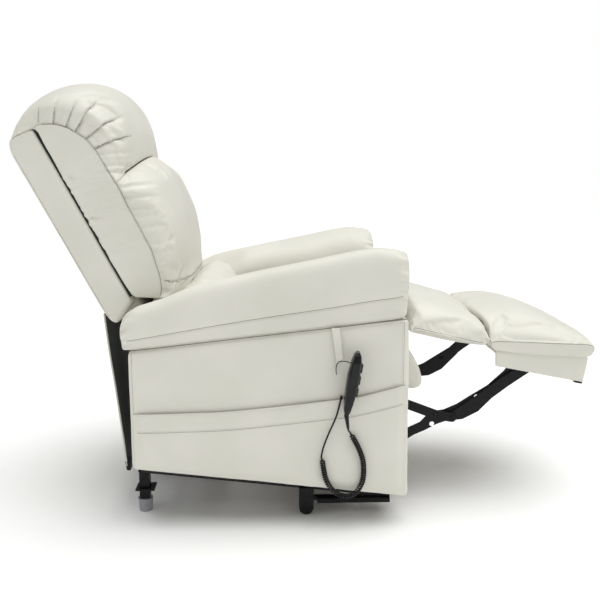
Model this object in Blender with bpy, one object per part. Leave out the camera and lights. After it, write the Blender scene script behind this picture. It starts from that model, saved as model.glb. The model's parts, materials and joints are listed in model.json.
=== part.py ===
"""Lift recliner chair: base frame, lifting linkage, seat, arms, reclining back and folding footrest.

Metres, +Z up, the sitter faces -Y and +X is the sitter's left. Shapes are drawn in the chair's own
frame, with X = 0 in its middle and the floor at Z = 0, and the root empty then moves the whole chair
so that the middle of its footprint is at the world origin. Side profiles are lists of (y, z) points.
The chair is shown reclined, with its footrest out and its lift down.
"""

import math

import bmesh
import bpy
from mathutils import Matrix, Vector

# ---------------------------------------------------------------- driving dimensions
ROOT_SHIFT = (0.0233, 0.1069, 0.0)

PANEL_INNER = 0.257
PANEL_OUTER = 0.392
ARM_INNER = 0.250
ARM_OUTER = 0.403
CUSHION_HALF = 0.247
WING_HALF = 0.305
TONGUE_HALF = 0.230
FOOTREST_HALF = 0.246

PLATE = 0.004
SIDE_PLATE_X = 0.2465
LINK_A_X = 0.2395
LINK_B_X = 0.2335
LINK_D_X = 0.2335
LINK_C_X = 0.2275
BACK_BRACKET_X = 0.2360
LIFT_ARM_X = 0.2000
LIFT_GUIDE_X = 0.2080
BASE_BRACKET_X = 0.1920

PIN_RADIUS = 0.006
HOLE_RADIUS = 0.0072
LINK_HALF_WIDTH = 0.013

TUBE_RADIUS = 0.011
RUNNING_CLEARANCE = 0.0014
OPEN_CLEARANCE = 0.0050
RAIL_X = 0.285
CASTOR_X = 0.300
GLIDE_X = 0.262
GLIDE_Y = 0.362
RAIL_SIZE = 0.025
GAP = 0.0003

# Pivots in the side view, (y, z)
RECLINE_PIVOT = (0.180, 0.360)
FLAP_PIVOT = (0.458, 0.5505)
LEG_PAD_PIVOT = (-0.362, 0.490)
A_SEAT = (-0.290, 0.315)
A_CROSS = (-0.440, 0.257)
A_TIP = (-0.487, 0.248)
B_SEAT = (-0.1971, 0.2689)
C_TAIL = (-0.345, 0.185)
C_FOOT = (-0.668, 0.402)
D_FOOT = (-0.728, 0.4033)
LIFT_BASE = (-0.190, 0.095)
LIFT_SEAT = (0.130, 0.262)
GUIDE_BASE = (-0.1265, 0.095)
GUIDE_SEAT = (0.260, 0.262)
LIFT_MOTOR = (0.285, 0.140)
LIFT_PUSH = (-0.0539, 0.1278)
LEG_MOTOR = (0.200, 0.320)
LEG_PUSH = (-0.3444, 0.2896)
BACK_MOTOR = (-0.120, 0.335)
BACK_PUSH = (0.190, 0.303)
WHEEL_AXLE = (-0.080, 0.0195)

LIFT_MOTOR_X = 0.0
LEG_MOTOR_X = -0.110
BACK_MOTOR_X = 0.214

# Handset and its cord, which hang on the outside of the right arm
HANDSET_X = -0.4275
HANDSET_TOP = Vector((HANDSET_X, -0.203, 0.482))
HANDSET_BOTTOM = Vector((HANDSET_X, -0.175, 0.323))
HANDSET_WIDTH = 0.044
ROCKER_PIVOT_DEPTH = 0.0115
CORD_DIAMETER = 0.0047
COIL_DIAMETER = 0.015
CORD_TOP_ROUTE = [
    (-0.4275, -0.1798, 0.2841),
    (-0.4272, -0.1804, 0.2798),
    (-0.4205, -0.1830, 0.2745),
    (-0.4136, -0.1861, 0.2696),
    (-0.4130, -0.1888, 0.2643),
]
COIL_ROUTE = [
    (-0.4130, -0.1890, 0.2640),
    (-0.4110, -0.2090, 0.2250),
    (-0.4110, -0.2210, 0.1860),
    (-0.4110, -0.2190, 0.1350),
    (-0.4110, -0.1950, 0.1010),
    (-0.4110, -0.1580, 0.1020),
    (-0.4110, -0.1280, 0.1370),
    (-0.4110, -0.1150, 0.1980),
]
CORD_END_ROUTE = [
    (-0.4110, -0.1149, 0.1986),
    (-0.4110, -0.1138, 0.2048),
    (-0.4110, -0.1190, 0.2300),
    (-0.4110, -0.1330, 0.2680),
    (-0.4110, -0.1500, 0.3080),
    (-0.4095, -0.1600, 0.3450),
    (-0.4060, -0.1625, 0.3560),
    (-0.4000, -0.1645, 0.3605),
    (-0.3955, -0.1660, 0.3540),
    (-0.3953, -0.1670, 0.3340),
]

BODIES = {
    "base": (None, (0.0, 0.0)),
    "castor_right": ("base", WHEEL_AXLE),
    "castor_left": ("base", WHEEL_AXLE),
    "lift_arms": ("base", LIFT_BASE),
    "lift_guides": ("base", GUIDE_BASE),
    "lift_motor": ("base", LIFT_MOTOR),
    "lift_rod": ("lift_motor", LIFT_PUSH),
    "chair": ("lift_arms", LIFT_SEAT),
    "back": ("chair", RECLINE_PIVOT),
    "flap": ("back", FLAP_PIVOT),
    "back_motor": ("chair", BACK_MOTOR),
    "back_rod": ("back_motor", BACK_PUSH),
    "footrest_drive": ("chair", A_SEAT),
    "footrest_guide": ("chair", B_SEAT),
    "footrest_long": ("footrest_drive", A_CROSS),
    "footrest_balance": ("footrest_drive", A_TIP),
    "ottoman": ("footrest_long", C_FOOT),
    "leg_pad": ("chair", LEG_PAD_PIVOT),
    "leg_motor": ("chair", LEG_MOTOR),
    "leg_rod": ("leg_motor", LEG_PUSH),
    "rocker_1": ("chair", None),
    "rocker_2": ("chair", None),
    "rocker_3": ("chair", None),
}


# ---------------------------------------------------------------- scene and materials
def clear_scene():
    for obj in list(bpy.data.objects):
        bpy.data.objects.remove(obj)


def material(name, colour, roughness, metallic=0.0):
    made = bpy.data.materials.new(name)
    made.use_nodes = True
    shader = made.node_tree.nodes["Principled BSDF"]
    shader.inputs["Base Color"].default_value = (*colour, 1.0)
    shader.inputs["Roughness"].default_value = roughness
    shader.inputs["Metallic"].default_value = metallic
    return made


def upholstery(node):
    return material(f"{node}_upholstery", (0.74, 0.72, 0.65), 0.45)


def black_steel(node):
    return material(f"{node}_steel", (0.02, 0.02, 0.022), 0.40, 0.6)


def black_plastic(node):
    return material(f"{node}_plastic", (0.02, 0.02, 0.022), 0.35)


def grey_plastic(node):
    return material(f"{node}_plastic", (0.35, 0.35, 0.37), 0.45)


def bright_steel(node):
    return material(f"{node}_steel", (0.60, 0.60, 0.60), 0.30, 1.0)


def plywood(node):
    return material(f"{node}_wood", (0.60, 0.45, 0.28), 0.65)


# ---------------------------------------------------------------- bodies and objects
def rocker_centre(index):
    """Middle of one rocker on the handset's front face, counted from the top."""
    along = HANDSET_TOP.lerp(HANDSET_BOTTOM, 0.24 + 0.19 * index)
    return along + handset_forward() * ROCKER_PIVOT_DEPTH


def handset_forward():
    down = (HANDSET_BOTTOM - HANDSET_TOP).normalized()
    return Vector((0.0, down.z, -down.y))


def body_origin(name):
    if name.startswith("rocker"):
        return rocker_centre(int(name[-1]) - 1)
    x = {"castor_right": -RAIL_X, "castor_left": RAIL_X}.get(name, 0.0)
    return Vector((x, *BODIES[name][1]))


def make_bodies():
    """An empty on each joint's axis, nested as the pieces move."""
    empties = {}
    for name, (parent, _) in BODIES.items():
        empty = bpy.data.objects.new(f"{name}_axis", None)
        bpy.context.scene.collection.objects.link(empty)
        if parent is None:
            empty.location = body_origin(name) + Vector(ROOT_SHIFT)
        else:
            empty.parent = empties[parent]
            empty.location = body_origin(name) - body_origin(parent)
        empties[name] = empty
    return empties


def add_mesh(name, mesh_data, body, coat=None):
    """An object from bmesh data in the chair's frame, with its origin on its body's axis."""
    mesh = bpy.data.meshes.new(name)
    bmesh.ops.recalc_face_normals(mesh_data, faces=mesh_data.faces[:])
    mesh_data.to_mesh(mesh)
    mesh_data.free()
    mesh.transform(Matrix.Translation(-body_origin(body)))
    obj = bpy.data.objects.new(name, mesh)
    bpy.context.scene.collection.objects.link(obj)
    obj.parent = EMPTIES[body]
    if coat is None:
        obj.hide_render = True
        obj.display_type = "WIRE"
    else:
        mesh.materials.append(coat(name))
    return obj


def smooth(obj, degrees=35):
    obj.data.shade_smooth()
    obj.data.set_sharp_from_angle(angle=math.radians(degrees))
    return obj


def combine(obj, operation, *tools):
    for tool in tools:
        modifier = obj.modifiers.new(f"{operation.lower()}_{tool.name}", "BOOLEAN")
        modifier.operation = operation
        modifier.object = tool
    return obj


def soften(obj, width, segments=3, limit="WEIGHT"):
    """Rounds the rims of a prism or, by ANGLE, every sharp edge."""
    bevel = obj.modifiers.new("soft_edges", "BEVEL")
    bevel.width = width
    bevel.segments = segments
    bevel.limit_method = limit
    return smooth(obj, 60)


# ---------------------------------------------------------------- shape makers
def prism(name, outline, x_low, x_high, body, coat=None):
    """A side profile of (y, z) points, extruded along X. Its two rims carry a bevel weight."""
    data = bmesh.new()
    weight = data.edges.layers.float.new("bevel_weight_edge")
    near = [data.verts.new((x_low, y, z)) for y, z in outline]
    far = [data.verts.new((x_high, y, z)) for y, z in outline]
    data.faces.new(near)
    data.faces.new(far)
    for edge in data.edges:
        edge[weight] = 1.0
    for index in range(len(outline)):
        following = (index + 1) % len(outline)
        data.faces.new((near[index], near[following], far[following], far[index]))
    return add_mesh(name, data, body, coat)


def box(name, low, high, body, coat=None):
    outline = [(low[1], low[2]), (high[1], low[2]), (high[1], high[2]), (low[1], high[2])]
    return prism(name, outline, low[0], high[0], body, coat)


def rod(name, start, end, radius, body, coat=None, end_radius=None, segments=16):
    """A round bar, or a cone, between two points."""
    start, end = Vector(start), Vector(end)
    data = bmesh.new()
    axis = end - start
    bmesh.ops.create_cone(
        data,
        cap_ends=True,
        segments=segments,
        radius1=radius,
        radius2=radius if end_radius is None else end_radius,
        depth=axis.length,
        matrix=Matrix.Translation((start + end) / 2) @ axis.to_track_quat("Z", "Y").to_matrix().to_4x4(),
    )
    return smooth(add_mesh(name, data, body, coat))


def pin(name, centre, x_low, x_high, radius, body, coat=None, segments=16):
    return rod(name, (x_low, *centre), (x_high, *centre), radius, body, coat, segments=segments)


def bar(name, start, end, width, height, body, coat=None):
    """A square bar between two points, whose height stands in the vertical plane of its axis."""
    start, end = Vector(start), Vector(end)
    along = (end - start).normalized()
    side = along.cross(Vector((0, 0, 1))).normalized() * width / 2
    up = side.cross(along).normalized() * height / 2
    data = bmesh.new()
    corners = [side + up, side - up, -side - up, -side + up]
    near = [data.verts.new(start + corner) for corner in corners]
    far = [data.verts.new(end + corner) for corner in corners]
    data.faces.new(near)
    data.faces.new(far)
    for index in range(4):
        following = (index + 1) % 4
        data.faces.new((near[index], near[following], far[following], far[index]))
    return add_mesh(name, data, body, coat)


def strap_outline(centres, half_width, arc_steps=6):
    """The outline of a flat link along its centres, with round ends. half_width is one size, or one
    per centre."""
    points = [Vector(centre) for centre in centres]
    halves = half_width if isinstance(half_width, list) else [half_width] * len(points)
    left, right = [], []
    for index, point in enumerate(points):
        before = points[max(index - 1, 0)]
        after = points[min(index + 1, len(points) - 1)]
        along = (after - before).normalized()
        normal = Vector((-along.y, along.x)) * halves[index]
        left.append(point + normal)
        right.append(point - normal)
    outline = list(left)
    outline += round_end(points[-1], points[-1] - points[-2], halves[-1], arc_steps)
    outline += reversed(right)
    outline += round_end(points[0], points[0] - points[1], halves[0], arc_steps)
    return [tuple(point) for point in outline]


def round_end(centre, direction, radius, steps):
    heading = math.atan2(direction.y, direction.x)
    angles = [heading + math.pi / 2 - math.pi * step / steps for step in range(1, steps)]
    return [centre + Vector((math.cos(angle), math.sin(angle))) * radius for angle in angles]


def side_name(stem, side):
    return f"{stem}_{'left' if side > 0 else 'right'}"


def slab_range(x, side, thickness=PLATE):
    return sorted((side * x, side * (x + thickness)))


def plate(stem, centres, x, side, body, holes=(), pins=(), half_width=LINK_HALF_WIDTH):
    """A stamped link. Each hole is a pivot, and each pin is (pivot, x from, x to, radius)."""
    name = side_name(stem, side)
    low, high = slab_range(x, side)
    obj = prism(name, strap_outline(centres, half_width), low, high, body, black_steel)
    for index, (centre, x_from, x_to, radius) in enumerate(pins):
        tool = pin(f"{name}_pin_{index}", centre, side * x_from, side * x_to, radius, body)
        combine(obj, "UNION", tool)
    for index, centre in enumerate(holes):
        reach = sorted((side * (x - 0.003), side * (x + PLATE + 0.003)))
        combine(obj, "DIFFERENCE", pin(f"{name}_hole_{index}", centre, *reach, HOLE_RADIUS, body))
    return obj


def catmull(points, step):
    """Points about `step` apart along a smooth curve through the given ones."""
    points = [Vector(point) for point in points]
    padded = [2 * points[0] - points[1]] + points + [2 * points[-1] - points[-2]]
    curve = []
    for index in range(1, len(padded) - 2):
        p0, p1, p2, p3 = padded[index - 1 : index + 3]
        count = max(2, round((p2 - p1).length / step))
        for part in range(count):
            t = part / count
            curve.append(
                0.5
                * (
                    2 * p1
                    + (p2 - p0) * t
                    + (2 * p0 - 5 * p1 + 4 * p2 - p3) * t * t
                    + (3 * p1 - p0 - 3 * p2 + p3) * t * t * t
                )
            )
    return curve + [points[-1]]


def cord(name, route, diameter, step, sides):
    """A capped tube along a smooth route."""
    data = bpy.data.curves.new(name, "CURVE")
    data.dimensions = "3D"
    data.bevel_depth = diameter / 2
    data.bevel_resolution = sides
    data.use_fill_caps = True
    spline = data.splines.new("POLY")
    points = catmull(route, step)
    spline.points.add(len(points) - 1)
    origin = body_origin("chair")
    for point, place in zip(spline.points, points):
        point.co = (*(place - origin), 1.0)
    obj = bpy.data.objects.new(name, data)
    bpy.context.scene.collection.objects.link(obj)
    obj.parent = EMPTIES["chair"]
    data.materials.append(black_plastic(name))
    return obj


# ---------------------------------------------------------------- base frame
def rail_height(y):
    """Middle of the side rail, which climbs towards the rear."""
    return 0.0550 + (y + 0.31) * 0.1170


def base_side(side):
    """Side rail with the rear post and its flange, the castor's housing and the strip that ties it to
    the front."""
    name = side_name("base_rail", side)
    rail = bar(name, (side * RAIL_X, -0.31, rail_height(-0.31)), (side * RAIL_X, 0.372, rail_height(0.372)),
               RAIL_SIZE, RAIL_SIZE, "base", black_steel)
    x = side * GLIDE_X
    half = 0.0135
    post = box(f"{name}_post", (x - half, GLIDE_Y - half, 0.038), (x + half, GLIDE_Y + half, 0.135), "base")
    flange = box(f"{name}_flange", (x - 0.024, GLIDE_Y - 0.028, 0.063),
                 (x + 0.024, GLIDE_Y + 0.023, 0.068), "base")
    socket = rod(f"{name}_glide_socket", (x, GLIDE_Y, 0.030), (x, GLIDE_Y, 0.062), 0.0058, "base")
    x = side * CASTOR_X
    y = WHEEL_AXLE[0]
    strip_x = sorted((side * (CASTOR_X - 0.022), side * (CASTOR_X + 0.008)))
    strip = box(f"{name}_strip", (strip_x[0], -0.308, 0.0310), (strip_x[1], y, 0.0435), "base")
    housing = box(f"{name}_castor_housing", (x - 0.0175, y - 0.0195, 0.019),
                  (x + 0.0175, y + 0.0195, 0.078), "base")
    slot = box(f"{name}_castor_slot", (x - 0.0120, y - 0.030, 0.0), (x + 0.0120, y + 0.030, 0.0435), "base")
    bore = pin(f"{name}_castor_bore", WHEEL_AXLE, x - 0.015, x + 0.015, 0.0052, "base")
    combine(rail, "UNION", post, flange, strip, housing)
    combine(rail, "DIFFERENCE", slot, bore, socket)


def castor_wheel(side):
    body = side_name("castor", side)
    x = side * CASTOR_X
    wheel = pin(side_name("castor_wheel", side), WHEEL_AXLE, x - 0.0105, x + 0.0105,
                WHEEL_AXLE[1], body, black_plastic, segments=28)
    stub = pin(f"{body}_stub", WHEEL_AXLE, x - 0.0143, x + 0.0143, 0.0042, body)
    combine(wheel, "UNION", stub)


def levelling_glide(side):
    name = side_name("levelling_glide", side)
    x = side * GLIDE_X
    glide = rod(name, (x, GLIDE_Y, 0.0), (x, GLIDE_Y, 0.0355), 0.0175, "base", grey_plastic,
                end_radius=0.0205, segments=24)
    combine(glide, "UNION", rod(f"{name}_stem", (x, GLIDE_Y, 0.032), (x, GLIDE_Y, 0.060), 0.005, "base"))


def base_front_beam():
    """Cross beam with the two upright brackets that carry the lift links."""
    reach = RAIL_X - RAIL_SIZE / 2 - GAP
    middle = rail_height(-0.20) - 0.0075
    beam = box("base_front_beam", (-reach, -0.2125, middle - 0.0125), (reach, -0.1875, middle + 0.0125),
               "base", black_steel)
    for side in (-1, 1):
        low, high = slab_range(BASE_BRACKET_X, side)
        outline = [(-0.212, 0.060), (-0.112, 0.068), (-0.106, 0.100), (-0.118, 0.112), (-0.198, 0.112),
                   (-0.212, 0.098)]
        combine(beam, "UNION", prism(f"bracket_{side}", outline, low, high, "base"))
        for name, centre in (("arm", LIFT_BASE), ("guide", GUIDE_BASE)):
            hole = pin(f"bracket_{name}_hole_{side}", centre, low - 0.003, high + 0.003, HOLE_RADIUS, "base")
            combine(beam, "DIFFERENCE", hole)


def base_rear_beam():
    """Cross beam with the clevis of the lift motor."""
    reach = RAIL_X - RAIL_SIZE / 2 - GAP
    middle = rail_height(0.318)
    beam = box("base_rear_beam", (-reach, 0.3055, middle - 0.0125), (reach, 0.3305, middle + 0.0125),
               "base", black_steel)
    for side in (-1, 1):
        low, high = slab_range(0.0225, side)
        cheek = prism(f"clevis_{side}", [(0.325, 0.115), (0.325, 0.150), (0.285, 0.156), (0.269, 0.144),
                                         (0.272, 0.126)],
                      low, high, "base")
        combine(beam, "UNION", cheek)
        hole = pin(f"clevis_hole_{side}", LIFT_MOTOR, low - 0.003, high + 0.003, HOLE_RADIUS, "base")
        combine(beam, "DIFFERENCE", hole)


# ---------------------------------------------------------------- lift linkage
def lift_link(stem, base_pivot, seat_pivot, x, side, body, clearance):
    """A lift link, pinned to the base bracket and with an eye around a seat tube."""
    name = side_name(stem, side)
    obj = plate(stem, [base_pivot, seat_pivot], x, side, body, half_width=0.015,
                pins=[(base_pivot, BASE_BRACKET_X - 0.004, x + 0.002, PIN_RADIUS)])
    reach = sorted((side * (x - 0.003), side * (x + PLATE + 0.003)))
    low, high = slab_range(x, side)
    eye = pin(f"{name}_eye", seat_pivot, low, high, 0.022, body, segments=24)
    bore = pin(f"{name}_bore", seat_pivot, *reach, TUBE_RADIUS + clearance, body, segments=24)
    combine(obj, "UNION", eye)
    combine(obj, "DIFFERENCE", bore)


def lift_cross_tube():
    """Torque tube between the lift arms, with the lug that the lift rod pushes."""
    centre = Vector(LIFT_BASE).lerp(Vector(LIFT_SEAT), 0.39)
    reach = LIFT_ARM_X - GAP
    tube = pin("lift_cross_tube", centre, -reach, reach, TUBE_RADIUS, "lift_arms", black_steel)
    lug = prism("lift_lug", strap_outline([centre, LIFT_PUSH], 0.011), 0.0120, 0.0170, "lift_arms")
    combine(tube, "UNION", lug)


def actuator(stem, pivot, push, x, housing_length, sizes, cheek, rod_gap):
    """A linear motor: its housing and outer tube turn on the pivot, and its rod slides in the tube."""
    start = Vector((x, *pivot))
    end = Vector((x, *push))
    along = (end - start).normalized()
    half_width, height, tube_radius, rod_radius, tube_length = sizes
    back = start - along * 0.012
    name = f"{stem}_motor"
    motor = bar(name, back, start + along * housing_length, 2 * half_width, height, f"{stem}_motor",
                black_plastic)
    tube = rod(f"{name}_tube", start + along * (housing_length - 0.01), start + along * tube_length,
               tube_radius, f"{stem}_motor")
    trunnion = pin(f"{name}_trunnion", pivot, x - cheek, x + cheek, PIN_RADIUS, f"{stem}_motor")
    bore = rod(f"{name}_bore", start + along * (housing_length + 0.02), start + along * (tube_length + 0.02),
               rod_radius + 0.0015, f"{stem}_motor")
    combine(motor, "UNION", tube, trunnion)
    combine(motor, "DIFFERENCE", bore)
    tail = start + along * (housing_length + rod_gap)
    slider = rod(f"{stem}_rod", tail, end, rod_radius, f"{stem}_rod", bright_steel)
    eye = pin(f"{stem}_rod_eye", push, x - rod_radius, x + rod_radius, 0.0115, f"{stem}_rod")
    combine(slider, "UNION", eye)


# ---------------------------------------------------------------- seat frame
def seat_side_plate(side):
    name = side_name("seat_side_plate", side)
    low, high = slab_range(SIDE_PLATE_X, side)
    outline = [(-0.325, 0.300), (-0.300, 0.290), (-0.225, 0.250), (0.275, 0.240), (0.290, 0.262),
               (0.282, 0.285), (0.225, 0.330), (0.202, 0.378), (0.178, 0.386), (0.155, 0.3735),
               (-0.325, 0.3735)]
    obj = prism(name, outline, low, high, "chair", black_steel)
    for index, centre in enumerate((A_SEAT, B_SEAT, RECLINE_PIVOT)):
        reach = (low - 0.003, high + 0.003)
        combine(obj, "DIFFERENCE", pin(f"{name}_hole_{index}", centre, *reach, HOLE_RADIUS, "chair"))
    if side > 0:
        combine(obj, "UNION", box(f"{name}_hanger", (0.1890, -0.135, 0.3600), (0.2480, -0.105, 0.3735),
                                  "chair"))
        hanger_cheeks(obj, BACK_MOTOR, BACK_MOTOR_X, 0.0210, 0.3735)


def hanger_cheeks(obj, pivot, x, inner, top):
    """Two cheeks that hang from `top` on both sides of a motor, with the holes for its trunnion."""
    y, z = pivot
    for side in (-1, 1):
        low, high = sorted((x + side * inner, x + side * (inner + PLATE)))
        outline = [(y - 0.013, top), (y - 0.013, z), (y - 0.007, z - 0.012), (y + 0.007, z - 0.012),
                   (y + 0.013, z), (y + 0.013, top)]
        name = f"{obj.name}_cheek_{side}"
        combine(obj, "UNION", prism(name, outline, low, high, "chair"))
        combine(obj, "DIFFERENCE", pin(f"{name}_hole", pivot, low - 0.003, high + 0.003, HOLE_RADIUS,
                                       "chair"))


def seat_tubes():
    """Cross tubes that the lift links hold. The rear one also carries the leg motor's lugs."""
    reach = SIDE_PLATE_X - GAP
    pin("seat_mid_tube", LIFT_SEAT, -reach, reach, TUBE_RADIUS, "chair", black_steel)
    rear = pin("seat_rear_tube", GUIDE_SEAT, -reach, reach, TUBE_RADIUS, "chair", black_steel)
    for side in (-1, 1):
        low, high = sorted((LEG_MOTOR_X + side * 0.0245, LEG_MOTOR_X + side * (0.0245 + PLATE)))
        lug = prism(f"leg_motor_lug_{side}", strap_outline([GUIDE_SEAT, LEG_MOTOR], 0.012), low, high,
                    "chair")
        hole = pin(f"leg_motor_hole_{side}", LEG_MOTOR, low - 0.003, high + 0.003, HOLE_RADIUS, "chair")
        combine(rear, "UNION", lug)
        combine(rear, "DIFFERENCE", hole)


def seat_deck():
    """Plywood deck that lies on the side plates."""
    box("seat_deck", (-0.2505, -0.345, 0.3740), (0.2505, 0.055, 0.3860), "chair", plywood)


def power_box():
    """Mains supply under the seat's rear, with its inlet socket."""
    case = box("power_supply", (-0.060, 0.2780, 0.176), (0.060, 0.338, 0.236), "chair", black_plastic)
    soften(case, 0.005, 2, "ANGLE")
    socket = box("power_inlet_socket", (-0.011, 0.326, 0.198), (0.011, 0.345, 0.212), "chair")
    combine(case, "DIFFERENCE", socket)


# ---------------------------------------------------------------- upholstery that doesn't recline
PANEL_OUTLINE = [(0.371, 0.1665), (-0.339, 0.082), (-0.332, 0.5622), (0.371, 0.4846)]


def arm_panel(side):
    name = side_name("arm_panel", side)
    low, high = slab_range(PANEL_INNER, side, PANEL_OUTER - PANEL_INNER)
    soften(prism(name, PANEL_OUTLINE, low, high, "chair", upholstery), 0.012, 2)


def arm_top(y):
    """Height of the arm's crown: it falls towards the rear, and round the nose at the front."""
    return 0.679 - 0.187 * (y + 0.01) - 0.20 * max(0.0, y - 0.20)


def arm_foot(y):
    """Height of the seam where the arm pad meets its panel."""
    return 0.5285 - 0.1105 * y + 0.0012


def arm_pad(side):
    """Rolled arm pad: sections of one rounded shape, which shrink at the nose and the rear end."""
    name = side_name("arm_pad", side)
    front, rear = -0.338, 0.386
    centre_x = side * (ARM_INNER + ARM_OUTER) / 2
    half = (ARM_OUTER - ARM_INNER) / 2
    data = bmesh.new()
    stations, around = 12, 16
    rings = []
    for station in range(stations + 1):
        part = station / stations
        y = front + (rear - front) * (0.5 - 0.5 * math.cos(math.pi * part))
        nose = min(1.0, ((y - front) / 0.085) ** 0.5) if y > front else 0.0
        tail = min(1.0, ((rear - y) / 0.085) ** 0.5) if y < rear else 0.0
        fill = 0.62 + 0.38 * min(nose, tail)
        low = arm_foot(y)
        high = low + (arm_top(y) - low) * fill
        middle = (low + high) / 2
        ring = []
        for step in range(around):
            angle = 2 * math.pi * step / around
            across = abs(math.cos(angle)) ** 0.75 * math.copysign(1, math.cos(angle))
            power = 0.85 if math.sin(angle) > 0 else 0.45
            up = math.copysign(abs(math.sin(angle)) ** power, math.sin(angle))
            narrow = 0.93 + 0.07 * min(nose, tail)
            ring.append(data.verts.new((centre_x + half * across * narrow, y,
                                        middle + (high - low) / 2 * up)))
        rings.append(ring)
    data.faces.new(rings[0])
    data.faces.new(rings[-1])
    for first, second in zip(rings, rings[1:]):
        for step in range(around):
            following = (step + 1) % around
            data.faces.new((first[step], first[following], second[following], second[step]))
    smooth(add_mesh(name, data, "chair", upholstery), 60)


def front_rail_pad():
    """Padded apron across the front, under the leg pad."""
    outline = [(-0.331, 0.468), (-0.350, 0.462), (-0.375, 0.425), (-0.395, 0.385), (-0.404, 0.355),
               (-0.400, 0.335), (-0.384, 0.327), (-0.350, 0.330), (-0.350, 0.3900), (-0.331, 0.3900)]
    prism("front_rail_pad", outline, -0.2300, 0.2300, "chair", upholstery)


def side_pocket():
    """Cloth pocket on the right arm's outside: a sheet held off the panel, joined to it at its edges."""
    sheet = [(0.361, 0.172), (-0.331, 0.091), (-0.328, 0.381), (-0.200, 0.354), (-0.060, 0.341),
             (0.140, 0.331),
             (0.361, 0.322)]
    hollow = [(0.347, 0.184), (-0.317, 0.105), (-0.314, 0.420), (0.347, 0.420)]
    outer = -(PANEL_OUTER + 0.0090)
    pocket = prism("side_pocket", sheet, outer, -(PANEL_OUTER + GAP), "chair", upholstery)
    inside = prism("side_pocket_hollow", hollow, outer + 0.0026, -(PANEL_OUTER - 0.002), "chair")
    combine(pocket, "DIFFERENCE", inside)


# ---------------------------------------------------------------- back
def back_point(height, depth):
    """A point (y, z) in the reclined back: height up the shell's front face, depth in front of it."""
    lean = math.radians(27.8)
    base = (0.361, 0.596)
    return (base[0] + height * math.sin(lean) - depth * math.cos(lean),
            base[1] + height * math.cos(lean) + depth * math.sin(lean))


def back_shell():
    """Upholstered frame: a wide part above the arms, and a narrow tongue between them."""
    wide = [back_point(0.000, 0.0), back_point(0.500, 0.0), back_point(0.500, -0.069),
            back_point(0.462, -0.0895),
            back_point(0.020, -0.0895), back_point(-0.036, -0.0740)]
    tongue = [back_point(-0.150, -0.010), back_point(0.050, -0.010), back_point(0.050, -0.060),
              back_point(-0.150, -0.060)]
    shell = prism("back_shell", wide, -WING_HALF, WING_HALF, "back", upholstery)
    combine(shell, "UNION", prism("back_shell_tongue", tongue, -TONGUE_HALF, TONGUE_HALF, "back"))
    return shell


def back_cushions():
    pillow = [back_point(0.310, 0.002), back_point(0.508, 0.002), back_point(0.516, -0.050), (0.640, 1.060),
              (0.600, 1.108), (0.553, 1.141), (0.510, 1.152), (0.463, 1.148), (0.413, 1.126),
              (0.378, 1.083), (0.350, 1.020), (0.336, 0.969)]
    soften(prism("head_pillow", pillow, -0.300, 0.300, "back", upholstery), 0.030)
    lumbar = [back_point(0.305, 0.002), (0.330, 0.958), (0.288, 0.918), (0.257, 0.855), (0.233, 0.774),
              (0.224, 0.703), (0.221, 0.672), (0.229, 0.645), (0.262, 0.628), back_point(0.015, 0.002)]
    soften(prism("lumbar_cushion", lumbar, -0.300, 0.300, "back", upholstery), 0.024)
    lower = [(0.340, 0.586), (0.2785, 0.470), (0.210, 0.455), (0.150, 0.480), (0.112, 0.530), (0.118, 0.590),
             (0.160, 0.634), (0.205, 0.640), (0.222, 0.626), (0.258, 0.612)]
    soften(prism("lower_back_cushion", lower, -CUSHION_HALF + 0.002, CUSHION_HALF - 0.002, "back",
                 upholstery), 0.018)


def back_bracket(side):
    """Steel bracket from the recline pivot up the side of the shell's tongue, with a lever below."""
    centres = [BACK_PUSH, RECLINE_PIVOT, (0.262, 0.405), (0.335, 0.500)]
    plate("back_bracket", centres, BACK_BRACKET_X, side, "back",
          pins=[(RECLINE_PIVOT, BACK_BRACKET_X + 0.001, SIDE_PLATE_X + PLATE + 0.0035, PIN_RADIUS)])


def rear_flap():
    outline = [(0.4560, 0.549), (0.4600, 0.549), (0.4550, 0.497), (0.4490, 0.437), (0.4355, 0.328),
               (0.4225, 0.211),
               (0.4125, 0.112), (0.4085, 0.112), (0.4185, 0.211), (0.4315, 0.328), (0.4450, 0.437),
               (0.4510, 0.497)]
    prism("rear_flap", outline, -0.245, 0.245, "flap", upholstery)


# ---------------------------------------------------------------- footrest
LONG_LINK_CENTRES = [C_TAIL, (-0.378, 0.2065), (-0.408, 0.2200), (-0.438, 0.2440), (-0.470, 0.2510),
                     (-0.511, 0.2610), (-0.548, 0.2820), (-0.598, 0.3225), (-0.640, 0.3650), C_FOOT]
LONG_LINK_WIDTHS = [0.0130, 0.0130, 0.0135, 0.0205, 0.0165, 0.0235, 0.0255, 0.0175, 0.0150, 0.0130]
BALANCE_LINK_CENTRES = [A_TIP, (-0.560, 0.292), (-0.630, 0.346), (-0.690, 0.385), D_FOOT]
BALANCE_LINK_WIDTHS = [0.0120, 0.0160, 0.0160, 0.0140, 0.0110]


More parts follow.
